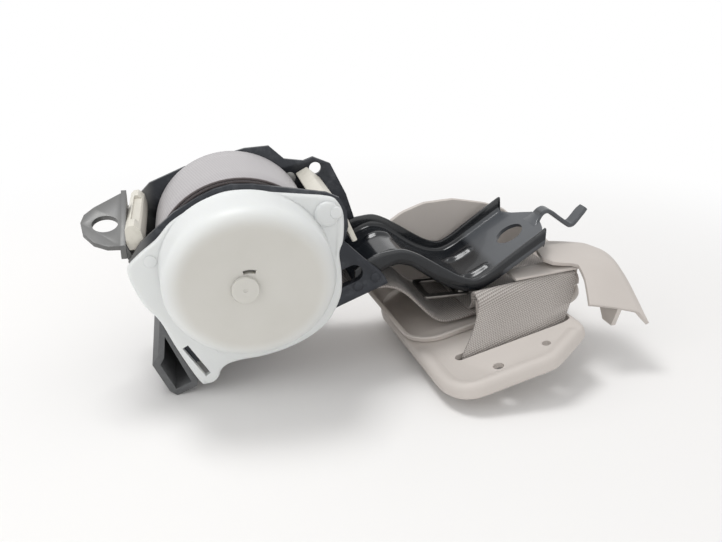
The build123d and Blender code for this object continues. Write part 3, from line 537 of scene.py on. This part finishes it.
def woven(name, shade, light, edge_shade, relief):
    """Belt cloth on a UV map in millimetres: U across the belt, V along it."""
    material, place = finish(name)
    spread = place.node("ShaderNodeUVMap", {"uv_map": "belt"})
    across, along = spread.axis(0), spread.axis(1)
    row = (along + across * ROW_SLANT) * (1 / ROW_PITCH)
    shuffle = row.math("FLOOR") * 0.5
    rib = (row * (2 * math.pi)).math("SINE")
    float_thread = ((across * (1 / THREAD_PITCH) + shuffle) * (2 * math.pi)).math("SINE")
    stray = spread.noise(1.6, 2, 0.8)
    weave = rib * 0.5 + float_thread * 0.4 + (stray - 0.5) * 1.1
    wear = spread.noise(0.35, 4)
    glint = spread.noise(3.5, 2, 0.7)
    cloth = weave.between(-0.8, 0.95).mix(tint(*shade), tint(*light))
    worn = [0.45 * low + 0.55 * high for low, high in zip(shade, light)]
    cloth = (wear.between(0.35, 0.75) * 0.3).mix(cloth, tint(*worn))
    half = BELT_WIDE / 2
    # Painted shade: the belt's edges are darkened, almost fully on the wound roll for the shade between its
    # stacked layers, and a little on the free belt.
    edge = (across - half).math("ABSOLUTE").between(half - 0.5, half - 0.1)
    cloth = (edge * edge_shade).mix(cloth, tint(70, 60, 59))
    coat(
        place,
        Base_Color=cloth,
        Roughness=0.42 + glint * 0.25,
        Sheen_Weight=0.25,
        Sheen_Roughness=0.4,
        Normal=place.bump(weave, relief),
    )
    return material


def belt_ribbon(name, centres, acrosses, normals, material, along_from=0.0):
    """A closed ribbon of belt through centre points, with its cloth map. All in metres."""
    half, thick = BELT_WIDE / 2, BELT_THICK / 2
    ring = [
        (-half + 0.3, -thick), (-half, -thick * 0.5), (-half, thick * 0.5), (-half + 0.3, thick),
        (-half / 2, thick), (0, thick), (half / 2, thick),
        (half - 0.3, thick), (half, thick * 0.5), (half, -thick * 0.5), (half - 0.3, -thick),
        (half / 2, -thick), (0, -thick), (-half / 2, -thick),
    ]
    shape = bmesh.new()
    spread = shape.loops.layers.uv.new("belt")
    rings = []
    for centre, across, normal in zip(centres, acrosses, normals):
        spots = [centre + across * (w * 0.001) + normal * (t * 0.001) for w, t in ring]
        rings.append([shape.verts.new(spot) for spot in spots])
    length = along_from
    for k in range(len(rings) - 1):
        step = (centres[k + 1] - centres[k]).length * 1000
        for j in range(len(ring)):
            n = (j + 1) % len(ring)
            face = shape.faces.new((rings[k][j], rings[k][n], rings[k + 1][n], rings[k + 1][j]))
            for loop, (w, a) in zip(face.loops, ((j, 0), (n, 0), (n, 1), (j, 1))):
                loop[spread].uv = (ring[w][0] + half, length + step * a)
        length += step
    for cap, flip in ((rings[0], True), (rings[-1], False)):
        face = shape.faces.new(cap[::-1] if flip else cap)
        for loop in face.loops:
            loop[spread].uv = (half, length)
    bmesh.ops.recalc_face_normals(shape, faces=shape.faces)
    piece = object_from(shape, name)
    settle(piece, material, sharp=60)
    return piece, length - along_from


belt_cloth = woven("belt_cloth", (128, 121, 116), (194, 188, 183), 0.25, 0.00009)
# The wound roll wears a second copy of the belt cloth in greyer tones with a lower top tone: painted shade
# on the roll, which curves away from the light.
wound_cloth_shaded = woven("wound_cloth_shaded", (165, 161, 163), (183, 180, 181), 0.92, 0.00002)
ALONG_SPOOL = Vector((0, 1, 0))
centres, normals = [], []
for k in range(int(WOUND_TURNS * STEPS_A_TURN) + 1):
    wound = 2 * math.pi * k / STEPS_A_TURN
    radius_here = ROLL_OUTSIDE - LAYER_STEP * wound / (2 * math.pi)
    angle = LEAVES_AT - wound
    out = Vector((math.cos(angle), 0, math.sin(angle)))
    layer = math.floor(k / STEPS_A_TURN)
    uneven = EDGE_WANDER * noise((layer * 3.7, 0.3, 0.1 * math.sin(angle)))
    centres.append(at(0, BELT_WIDE / 2 + uneven, 0) + out * (radius_here * 0.001))
    normals.append(out)
acrosses = [ALONG_SPOOL] * len(centres)
wound_belt, wound_length = belt_ribbon("wound_belt", centres, acrosses, normals, wound_cloth_shaded)
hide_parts("webbing_roll")
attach(wound_belt, "reel")

# Free webbing: leaves the roll under the bracket, folds across in the trim bowl,
# rises over the guide edge and goes down through the slot in the trim base.
TRIM_AT = at(106.1, -19.7, -35.7)
TRIM_X = Vector((0.973, 0.066, 0.2213))
TRIM_Z = Vector((-0.2227, -0.015, 0.9748))
TRIM_Y = TRIM_Z.cross(TRIM_X)


def in_trim(x, y, z):
    """Millimetres in the tilted trim's own directions."""
    return TRIM_AT + (TRIM_X * x + TRIM_Y * y + TRIM_Z * z) * 0.001


def through(points, steps):
    """Points along a smooth line through the given ones."""
    points = [Vector(spot) for spot in points]
    line = []
    for k in range(len(points) - 1):
        spots = [points[min(max(k + j, 0), len(points) - 1)] for j in (-1, 0, 1, 2)]
        line += [curve(*spots, j / steps) for j in range(steps)]
    return line + [points[-1]]


run_out = [
    (12.2, -31.2), (30.0, -24.1), (46.0, -17.7), (52.0, -16.0), (57.0, -15.7), (62.0, -17.0), (67.0, -20.5),
    (72.0, -25.6), (77.0, -30.7), (82.0, -33.9), (88.0, -34.0), (96.0, -32.4), (118.0, -27.4),
]
UNDER_LINE = 0.55
centres = through([at(x, BELT_WIDE / 2, z - UNDER_LINE) for x, z in run_out], 6)
normals = []
for k in range(len(centres)):
    step = centres[min(k + 1, len(centres) - 1)] - centres[max(k - 1, 0)]
    normals.append(step.normalized().cross(ALONG_SPOOL).normalized() * -1)
acrosses = [ALONG_SPOOL] * len(centres)
lower_run, lower_length = belt_ribbon("belt_lower_run", centres, acrosses, normals, belt_cloth)

# Each point of the fold: its place, the way across the belt and the way onward
fold = [
    ((15.4, 62.0, 6.0), (1, 0, 0), (0, -1, 0)),
    ((15.4, 45.0, 6.0), (1, 0, 0), (0, -1, 0)),
    ((15.4, 27.0, 6.0), (1, 0, 0), (0, -1, 0.1)),
    ((15.4, 23.0, 6.6), (1, 0, -0.01), (0, -0.9, 0.4)),
    ((15.4, 20.0, 8.7), (1, 0.01, -0.06), (0, -0.6, 0.8)),
    ((15.4, 17.8, 12.0), (0.993, 0.023, -0.1146), (0, -0.35, 0.95)),
    ((15.4, 16.6, 13.9), (0.993, 0.023, -0.1146), (0, -0.8, 0.6)),
    ((15.4, 14.8, 14.45), (0.993, 0.023, -0.1146), (0, -1, 0)),
    ((15.0, 12.1, 13.1), (0.993, 0.023, -0.105), (0, -0.75, -0.65)),
    ((13.4, 9.9, 10.4), (0.995, 0, -0.085), (0, -0.6, -0.75)),
    ((8.2, 5.4, 5.4), (0.998, 0, -0.04), (0, -0.62, -0.72)),
    ((2.0, 0.9, 1.4), (1, 0, 0), (0, -0.4, -0.9)),
    ((0.4, 0.0, -1.6), (1, 0, 0), (0, 0, -1)),
    ((0.4, 0.0, -7.4), (1, 0, 0), (0, 0, -1)),
]
fold_spots, fold_sides, fold_runs = zip(*fold)
centres = through([in_trim(*spot) for spot in fold_spots], 5)
sideways = through([TRIM_X * x + TRIM_Y * y + TRIM_Z * z for x, y, z in fold_sides], 5)
onward = through([(TRIM_X * x + TRIM_Y * y + TRIM_Z * z).normalized() for x, y, z in fold_runs], 5)
acrosses, normals = [], []
for wide, run in zip(sideways, onward):
    run = run.normalized()
    wide = (wide - run * wide.dot(run)).normalized()
    acrosses.append(wide)
    normals.append(wide.cross(run).normalized())
over_guide, fold_length = belt_ribbon(
    "belt_over_guide", centres, acrosses, normals, belt_cloth, lower_length
)
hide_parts("belt_strap")
for piece, length, carrier in (
    (wound_belt, wound_length, "spool"),
    (lower_run, lower_length, "trim_shell"),
    (over_guide, fold_length, "guide_saddle"),
):
    length / 1000
for piece in (lower_run, over_guide):
    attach(piece, "retractor")

# Bracket: 2 mm sheet pressed into an S between two raised flanges, with beads, an end
# hole and a hooked tongue, in thick gloss black primer.
gloss_black, place = finish("gloss_black")
ripple = place.noise(110, 2)
lint = place.noise(2600, 2, 0.8)
haze = place.noise(190, 4)
place_x, place_z = place.axis(0), place.axis(2)
HOLE_X, HOLE_Z, HOLE_RADIUS, HOLE_STEPS = 121.0, -6.0, 6.5, 64
PLATE_RUN, PLATE_RISE = 0.83, 0.557
PLATE_STARTS, TONGUE_STARTS = (0.0535, 0.0575), (0.0800, 0.0815)
end_middle = at(HOLE_X, 0, HOLE_Z)
# Painted light: the flat end plate and the tongue are painted a lighter grey where the light falls flat on
# them, and made rougher.
off_plate = (place_z - end_middle.z) * PLATE_RUN - (place_x - end_middle.x) * PLATE_RISE
on_plate = 1 - off_plate.math("ABSOLUTE").between(0.0012, 0.0022)
painted_flat_light = (on_plate * place_x.between(*PLATE_STARTS)).math("MAXIMUM", place_x.between(*TONGUE_STARTS))
paint = (haze.between(0.5, 0.85) * 0.2).mix(tint(20, 23, 27), tint(56, 60, 65))
coat(
    place,
    Base_Color=(painted_flat_light * 0.85).mix(paint, tint(84, 87, 91)),
    Roughness=0.15 + haze * 0.12 + lint.between(0.6, 0.8) * 0.2 + painted_flat_light * 0.2,
    Coat_Weight=0.3,
    Coat_Roughness=0.06,
    Specular_IOR_Level=0.32,
    Normal=place.bump(ripple + lint * 0.03, 0.0002, 0.4),
)
SHEET, BEAD_HIGH, BEAD_HALF, BEAD_ROUND = 2.0, 1.5, 4.2, 3.4
BEADS = [(62.6, 10.7), (62.6, 34.6), (100.6, 12.4), (100.6, 33.4)]
FLANGE_END, BEND_INSIDE, BEND_OUTSIDE = 126.0, 2.4, 3.6
CHANNEL_START, CHANNEL_STEP, ACROSS_STEPS = 44.0, 0.8, 60
BEND = ((0.0, 1.0), (0.08, 0.62), (0.29, 0.29), (0.62, 0.08), (1.0, 0.0))
floor_line = through(
    [
        (44.0, -13.8), (48.0, -12.4), (52.0, -10.2), (56.6, -7.3), (59.6, -6.0), (63.0, -5.4), (68.0, -6.8),
        (73.0, -10.2), (79.0, -14.4), (85.0, -17.8), (91.0, -19.9), (97.0, -20.4), (102.0, -18.6),
        (108.0, -14.8), (116.0, -9.4), (124.0, -4.0), (133.4, 2.3),
    ],
    6,
)
rim_line = through(
    [
        (42.0, -8.6), (48.0, -4.0), (53.0, -1.6), (58.0, -0.6), (64.0, -0.3), (70.0, -2.6), (76.0, -6.2),
        (82.0, -10.0), (88.0, -13.6), (93.0, -15.6), (97.0, -15.7), (102.0, -13.2), (108.0, -8.8),
        (116.0, -3.0), (124.5, 3.0), (127.0, 4.8),
    ],
    6,
)
near_edge = [(126.0, -2.0), (126.3, 1.4), (128.0, 6.0), (130.5, 10.5), (132.0, 16.0), (133.4, 24.6)]
far_edge = [(125.8, 49.0), (126.2, 47.0), (128.0, 39.5), (131.0, 33.0), (133.4, 27.4)]


def level(line, x):
    """Where a line of (x, height) points stands at x."""
    for start, end in zip(line, line[1:]):
        if x <= end[0]:
            share = max(0.0, min(1.0, (x - start[0]) / (end[0] - start[0])))
            return start[1] + (end[1] - start[1]) * share
    return line[-1][1]


def bead_lift(x, y):
    """How far the pressed beads lift the sheet."""
    lift = 0.0
    for middle, across in BEADS:
        along = max(abs(x - middle) - BEAD_HALF, 0.0)
        apart = min(math.hypot(along, y - across) / BEAD_ROUND, 1.0)
        lift += BEAD_HIGH * (0.5 + 0.5 * math.cos(math.pi * apart))
    return lift


def channel_ring(x):
    """The bracket's section at x: both flanges, the floor between, and the underside."""
    deck = level(floor_line, x)
    high = max(level(rim_line, x) - deck, 0.0) if x < FLANGE_END else 0.0
    near, far = level(near_edge, x), level(far_edge, x)
    wall = min(SHEET, (far - near) * 0.25)
    inner, outer = min(BEND_INSIDE, high * 0.45), min(BEND_OUTSIDE, 0.6 + high)
    lip, edge = min(0.5, high), 0.5 * wall / SHEET
    top, foot = deck + high, deck - SHEET
    half = [
        (0, foot + outer), (0, top - 0.5), (0.3 * edge, top - 0.15), (edge, top), (wall - edge, top),
        (wall - 0.3 * edge, top - 0.3 * lip), (wall, top - lip),
    ]
    half += [(wall + out * inner, deck + rise * inner) for out, rise in BEND]
    under = [(outer * out, foot + outer * rise) for out, rise in BEND[:0:-1]]
    floor_wide = far - near - 2 * wall - 2 * inner
    across = [near + wall + inner + floor_wide * k / ACROSS_STEPS for k in range(1, ACROSS_STEPS)]
    below = [y for y in across[::-1] if near + outer < y < far - outer]
    ring = [(near + y, z) for y, z in half]
    ring += [(y, deck + bead_lift(x, y)) for y in across]
    ring += [(far - y, z) for y, z in half[::-1]]
    ring += [(far - y, z) for y, z in under[::-1]]
    ring += [(y, foot + bead_lift(x, y)) for y in below]
    ring += [(near + outer + 0.01 * k, foot) for k in range(len(across) - len(below), 0, -1)]
    ring += [(near + y, z) for y, z in under]
    return [at(x, y, z) for y, z in ring]


stations = [CHANNEL_START + CHANNEL_STEP * k for k in range(102)]
stations += [125.4, 125.9, 126.1, 126.6, 127.4, 128.4, 129.4, 130.4, 131.4, 132.2, 132.9, 133.3]
channel = skinned("channel", [channel_ring(x) for x in stations])
END_SLOPE = math.atan2(6.3, 9.4)
slope_x, slope_z = math.cos(END_SLOPE), math.sin(END_SLOPE)
rings = []
for lift in (-8, 8):
    middle = Vector((HOLE_X - slope_z * lift, BELT_WIDE / 2, HOLE_Z + slope_x * lift))
    ring = []
    for k in range(HOLE_STEPS):
        angle = 2 * math.pi * k / HOLE_STEPS
        spot = middle + Vector((slope_x, 0, slope_z)) * (HOLE_RADIUS * math.cos(angle))
        ring.append(at(spot.x, spot.y + HOLE_RADIUS * math.sin(angle), spot.z))
    rings.append(ring)
end_hole = skinned("end_hole", rings)
tongue_line = through(
    [
        (129.6, -1.3), (131.8, 1.3), (134.0, 4.0), (136.2, 4.9), (138.6, 3.9), (142.0, 1.4), (145.4, -1.0),
        (147.4, -2.4), (149.2, -2.3), (150.8, -0.8), (153.2, 2.3), (155.5, 4.9),
    ],
    5,
)
TONGUE_MIDDLE, TONGUE_HALF, TONGUE_HALF_THICK = 21.0, 3.25, 0.95
TONGUE_ROOT, ROOT_LONG, ROOT_FLARE, TONGUE_TIP = 129.6, 4.4, 3.4, 154.0
corners = [(1, -0.6), (0.86, -1), (-0.86, -1), (-1, -0.6), (-1, 0.6), (-0.86, 1), (0.86, 1), (1, 0.6)]
rings = []
for k, spot in enumerate(tongue_line):
    run = (tongue_line[min(k + 1, len(tongue_line) - 1)] - tongue_line[max(k - 1, 0)]).normalized()
    up = Vector((-run.y, run.x))
    half_wide = TONGUE_HALF + ROOT_FLARE * max(0.0, 1 - (spot.x - TONGUE_ROOT) / ROOT_LONG) ** 2
    half_wide -= max(0.0, spot.x - TONGUE_TIP) * 0.5
    ring = []
    for side, lift in corners:
        spot_here = spot + up * (lift * TONGUE_HALF_THICK)
        ring.append(at(spot_here.x, TONGUE_MIDDLE + side * half_wide, spot_here.y))
    rings.append(ring)
tongue = skinned("tongue", rings)
bracket_parts = [carved(channel, end_hole), tongue]
one_piece("pressed_bracket", bracket_parts, gloss_black, "s_bracket", sharp=38)

# Bowl of the belt guide trim, moulded in beige plastic with a fine spark-eroded grain
# as the rest of the trim is. Its wall leans outwards and is cut to another height on
# each side: low in front, high behind.
beige, place = finish("beige_plastic")
grain = place.noise(2200, 2, 0.6)
fade = place.noise(35, 3)
coat(
    place,
    Base_Color=fade.mix(tint(194, 187, 181), tint(206, 199, 193)),
    Roughness=0.52 + grain * 0.12,
    Normal=place.bump(grain, 0.00006),
)


def round_box(middle, wide, long, corner, steps=10):
    """A rectangle with round corners, as points that turn counter-clockwise."""
    line = []
    for side_x, side_y, start in ((1, -1, -90), (1, 1, 0), (-1, 1, 90), (-1, -1, 180)):
        hub = Vector((middle[0] + side_x * (wide / 2 - corner), middle[1] + side_y * (long / 2 - corner)))
        for k in range(steps + 1):
            angle = math.radians(start + 90 * k / steps)
            line.append(hub + Vector((math.cos(angle), math.sin(angle))) * corner)
    spaced = []
    for k, spot in enumerate(line):
        step = line[(k + 1) % len(line)] - spot
        pieces = 24 if (k + 1) % (steps + 1) == 0 else 1
        spaced += [spot + step * (j / pieces) for j in range(pieces)]
    return spaced


BOWL_WALL, LIP_RISE, WALL_STEPS = 2.2, 40.0, 8
BACK_AT, FRONT_AT, LEFT_AT, RIGHT_AT = 72.0, 16.5, -37.0, 46.0
BACK_BLEND, FRONT_BLEND, SIDE_BLEND = 9.0, 4.0, 10.0
foot_line = round_box((4.5, 44.25), 83, 55.5, 14)
lip_line = round_box((-1.5, 43.0), 107, 69, 20)
back_rim = [
    (-50, 25), (-36, 27.2), (-24, 30.4), (-14, 34.4), (-6, 37.6), (4, 38.8), (16, 36.2), (29, 29.4),
    (37, 23.6), (46, 15.5),
]
left_rim = [(15, 2.8), (26, 3.4), (44, 11.0), (60, 19.5), (72, 26.0)]
right_rim = [(15, 8.4), (40, 9.5), (60, 12.0), (72, 16.0)]
front_rim = [(-40, 2.8), (-6.0, 2.8), (-5.0, 13.6), (41, 8.6), (50, 8.4)]


def rim_height(spot):
    """How high the wall stands over a point of its foot, blended from side to side."""
    shares = [
        (max(0.0, 1 - (BACK_AT - spot.y) / BACK_BLEND), level(back_rim, spot.x)),
        (max(0.0, 1 - (spot.y - FRONT_AT) / FRONT_BLEND), level(front_rim, spot.x)),
        (max(0.0, 1 - (spot.x - LEFT_AT) / SIDE_BLEND) + 0.001, level(left_rim, spot.y)),
        (max(0.0, 1 - (RIGHT_AT - spot.x) / SIDE_BLEND) + 0.001, level(right_rim, spot.y)),
    ]
    return sum(share * high for share, high in shares) / sum(share for share, high in shares)


rims = [rim_height(spot) for spot in foot_line]
inner_foot, inner_lip = drawn_in(foot_line, BOWL_WALL), drawn_in(lip_line, BOWL_WALL)


def wall_ring(low, high, lift):
    """A ring of the leaning wall, as far up as lift says for each point."""
    ring = []
    for start, end, rim in zip(low, high, rims):
        z = lift(rim)
        spot = start + (end - start) * (z / LIP_RISE)
        ring.append(in_trim(spot.x, spot.y, z))
    return ring


rings = [[in_trim(spot.x, spot.y, 0.0) for spot in drawn_in(foot_line, 1.0)]]
for k in range(WALL_STEPS + 1):
    rings.append(wall_ring(foot_line, lip_line, lambda rim: 0.4 + (rim - 0.9) * k / WALL_STEPS))
for inset, drop in ((0.4, 0.12), (1.1, 0.0), (1.8, 0.12)):
    low, high = drawn_in(foot_line, inset), drawn_in(lip_line, inset)
    rings.append(wall_ring(low, high, lambda rim: rim - drop))
for k in range(WALL_STEPS, -1, -1):
    rings.append(wall_ring(inner_foot, inner_lip, lambda rim: 2.3 + (rim - 2.8) * k / WALL_STEPS))
rings.append([in_trim(spot.x, spot.y, BOWL_WALL) for spot in drawn_in(foot_line, BOWL_WALL + 1.2)])
one_piece("trim_bowl", [skinned("bowl", rings)], beige, "trim_shell")

# Base of the trim: a thin moulding with a rolled rim along its free edges, the belt
# slot, two screw holes, and a ring of rib underneath that reaches the table.
base_edge = [
    (-38, 58), (-38, 50), (-38, 40), (-38, 30), (-38, 20), (-38, 10), (-38, 0), (-38, -8), (-37.2, -14),
    (-34, -20), (-29, -23.3), (-23, -24), (-14, -24), (-4, -24), (3, -24), (8, -22.8), (15, -18.6),
    (22, -14.2), (26.6, -10.6), (28, -6), (28, 0), (28, 8), (29, 14), (34, 15.2), (41, 18), (45.2, 24),
    (46, 32), (46, 45), (46, 58), (43.4, 66.6), (37, 71.8), (29, 73), (15, 73), (0, 73), (-14, 73),
    (-24, 73), (-31, 70.8), (-36, 65.6),
]
base_line = loop_through(base_edge, 4)
ROLL_HIGH, ROLL_FADES, ROLL_STARTS = 1.6, 17.0, 9.0
rolled = []
for spot in base_line:
    share = max(0.0, min(1.0, (ROLL_FADES - spot.y) / (ROLL_FADES - ROLL_STARTS)))
    rolled.append((ROLL_HIGH * share - 0.2) * (1.0 if spot.x < 24 else 0.4))
# From the underside out and over the rim: how far in, how high, and its share of the roll
rim_section = [
    (2.6, -2.2, 0), (2.4, -4.4, 0), (1.6, -4.8, 0), (0.6, -4.6, 0), (0.05, -3.8, 0), (0.0, -2.6, 0.1),
    (0.15, -1.4, 0.35), (0.6, -0.5, 0.62), (1.4, -0.1, 0.85), (2.4, 0.0, 1.0), (3.5, 0.0, 0.95),
    (4.8, 0.0, 0.6), (5.8, 0.0, 0.25), (6.6, 0.0, 0.0),
]
rings = []
for inset, fall, roll in rim_section:
    ring = []
    for spot, high in zip(drawn_in(base_line, inset), rolled):
        ring.append(in_trim(spot.x, spot.y, fall + high * roll))
    rings.append(ring)
deck = skinned("trim_deck", rings)


def upright(name, outline, low, high):
    """A straight-sided form square to the trim's base, from an outline of its points."""
    return skinned(name, [[in_trim(spot.x, spot.y, z) for spot in outline] for z in (low, high)])


cutters = [
    upright(name, round_box(middle, wide, long, corner, steps), -4, 3)
    for name, middle, wide, long, corner, steps in (
        ("belt_slot", (0, 0), 52, 4.4, 2.1, 6),
        ("screw_a", (-14.2, -14.7), 4.4, 4.4, 2.19, 8),
        ("screw_b", (8.6, -11.6), 3.6, 3.6, 1.79, 8),
    )
]
rib_line = round_box((-5, 22.5), 44, 31, 6)
rings = [
    [in_trim(spot.x, spot.y, z) for spot in drawn_in(rib_line, inset)]
    for inset, z in ((0, -2.0), (0, -11.2), (0.5, -11.7), (1.7, -11.7), (2.2, -11.2), (2.2, -2.0))
]
base_parts = [carved(deck, *cutters), skinned("rib", rings, capped=False, looped=True)]
one_piece("trim_base", base_parts, beige, "trim_bezel")

# Guide edge: the saddle that the belt is folded over, cut off at its left end where the
# photograph shows the belt's edge standing free.
saddle = eased("guide_saddle", SOFT_EDGE, beige)
carved(saddle, prism("saddle_end", [(86, -40), (98.6, -40), (98.6, 0), (86, 0)], -20, 12))
settle(saddle, beige)

# Side lid of the trim: a thin sheet that falls away towards the front, with a round
# ledge behind the belt and a gusset that holds it off the base.
fall_line = through(
    [
        (24.5, -11.4), (13.0, -9.8), (3.0, -10.4), (-4.0, -11.8), (-10.0, -14.6), (-18.0, -20.8),
        (-27.4, -30.6), (-30.0, -33.4),
    ],
    6,
)
lid_fall = [(-spot.x, spot.y) for spot in fall_line]
lid_left = [
    (-24.5, 136.5), (-20, 133.5), (-10, 128.5), (-2, 127.5), (2.3, 131.0), (4.6, 140.8), (12, 140.6),
    (20.9, 138.6), (30, 138.6),
]
lid_right = [
    (-24.5, 137.5), (-20.5, 146.0), (-13.5, 156.0), (-8.0, 158.6), (-3, 159.4), (8, 159.4), (18, 160.8),
    (24, 162.2), (28, 163.4),
]
LID_BACK, LID_FRONT, LID_CROWN, LID_SLANT = -24.0, 20.9, 0.5, 4.2
CORNER_REACH, CORNER_FROM, EDGE_TURN, TURN_FROM = 2.2, 0.86, 1.3, 0.88
LID_THICK, ROWS, COLUMNS = 0.0018, 40, 30
shape = bmesh.new()
grid = []
for row in range(ROWS + 1):
    line = []
    for column in range(COLUMNS + 1):
        f = column / COLUMNS
        corner = CORNER_REACH * max(0.0, f - CORNER_FROM) / (1 - CORNER_FROM)
        front = LID_FRONT + LID_SLANT * f + corner
        y = LID_BACK + (front - LID_BACK) * row / ROWS
        x = level(lid_left, y) * (1 - f) + level(lid_right, y) * f
        turned_down = EDGE_TURN * max(0.0, f - TURN_FROM) / (1 - TURN_FROM)
        z = level(lid_fall, y) + LID_CROWN * math.sin(math.pi * f) - turned_down
        line.append(shape.verts.new(at(x, -y, z)))
    grid.append(line)
for low, high in zip(grid, grid[1:]):
    for column in range(COLUMNS):
        shape.faces.new((low[column], high[column], high[column + 1], low[column + 1]))
lid_skin = object_from(shape, "lid_skin")
wall = lid_skin.modifiers.new("wall", "SOLIDIFY")
wall.thickness, wall.offset = LID_THICK, -1
soft = lid_skin.modifiers.new("soft", "BEVEL")
soft.width, soft.segments, soft.limit_method = 0.0006, 2, "ANGLE"
worked_in(lid_skin)
LEDGE_START, LEDGE_END, LEDGE_LOW, LEDGE_RISE = 113.0, 141.5, -17.2, 0.1
LEDGE_DEEP, LEDGE_THICK, LEDGE_STEPS = 6.0, 0.9, 24
rings = []
for x in (LEDGE_START, 113.5, 118.0, 124.0, 130.0, 136.0, 141.0, LEDGE_END):
    end = 0.7 if x in (LEDGE_START, LEDGE_END) else 1.0
    ring = []
    for k in range(LEDGE_STEPS):
        angle = 2 * math.pi * k / LEDGE_STEPS
        deep = math.copysign(abs(math.cos(angle)) ** 0.5, math.cos(angle)) * LEDGE_DEEP
        tall = math.copysign(abs(math.sin(angle)) ** 0.7, math.sin(angle)) * LEDGE_THICK * end
        ring.append(at(x, 2.0 + deep, LEDGE_LOW + LEDGE_RISE * (x - LEDGE_START) + tall))
    rings.append(ring)
gusset_line = [(-22.4, -26.2), (-19.0, -35.5), (-12.0, -35.5), (-8.0, -30.0), (-6.5, -15.4)]
gusset = skinned("gusset", [[at(x, y, z) for y, z in gusset_line] for x in (151.0, 153.0)])
lid_parts = [lid_skin, skinned("ledge", rings), gusset]
one_piece("side_lid", lid_parts, beige, "trim_lid")

# Table and studio: a white table that fades into plain white away from the object, a
# soft box overhead, and fills from the left and the front.
WHITE = (1, 1, 1, 1)
LIT_SPOT = Vector((0, 0, 0.04))


def straight_rays(start):
    """One for what the camera sees, also in a mirror or through glass, and zero for the rest."""
    outputs = start.node("ShaderNodeLightPath").socket.node.outputs
    kinds = ("Is Camera Ray", "Is Glossy Ray", "Is Transmission Ray")
    camera_ray, glossy, through_glass = (Tone(start.tree, outputs[kind]) for kind in kinds)
    return camera_ray.math("MAXIMUM", glossy).math("MAXIMUM", through_glass)


table_white, place = finish("table_white")
matt = {"Base Color": (0.9, 0.89, 0.88, 1), "Roughness": 0.7}
table_top = place.node("ShaderNodeBsdfPrincipled", None, matt)
backdrop = place.node("ShaderNodeEmission", None, {"Color": WHITE, "Strength": 1.0})
share = straight_rays(place) * place.length().between(0.16, 0.42)
surface = place.node("ShaderNodeMixShader", None, {0: share, 1: table_top, 2: backdrop})
place.node("ShaderNodeOutputMaterial", None, {"Surface": surface})
shape = bmesh.new()
bmesh.ops.create_grid(shape, x_segments=2, y_segments=2, size=3.0)
table = object_from(shape, "table")
table.data.materials.append(table_white)

world = bpy.data.worlds.new("studio")
bpy.context.scene.world = world
world.use_nodes = True
world.node_tree.nodes.clear()
sky = Tone(world.node_tree)
daylight = sky.node("ShaderNodeBackground", None, {"Color": WHITE, "Strength": 0.62})
plain = sky.node("ShaderNodeBackground", None, {"Color": WHITE, "Strength": 1.0})
surface = sky.node("ShaderNodeMixShader", None, {0: straight_rays(sky), 1: daylight, 2: plain})
sky.node("ShaderNodeOutputWorld", None, {"Surface": surface})
for name, spot, size, power in (
    ("soft_box", (-0.2, 0.2, 0.9), 0.3, 3.4),
    ("side_fill", (-0.9, -0.5, 0.5), 0.7, 2.0),
    ("front_fill", (0.2, -1.1, 0.4), 0.8, 1.8),
):
    lamp_data = bpy.data.lights.new(name, "AREA")
    lamp_data.size, lamp_data.energy = size, power
    lamp = bpy.data.objects.new(name, lamp_data)
    lamp.location = spot
    lamp.rotation_euler = (LIT_SPOT - Vector(spot)).to_track_quat("-Z", "Y").to_euler()
    bpy.context.scene.collection.objects.link(lamp)
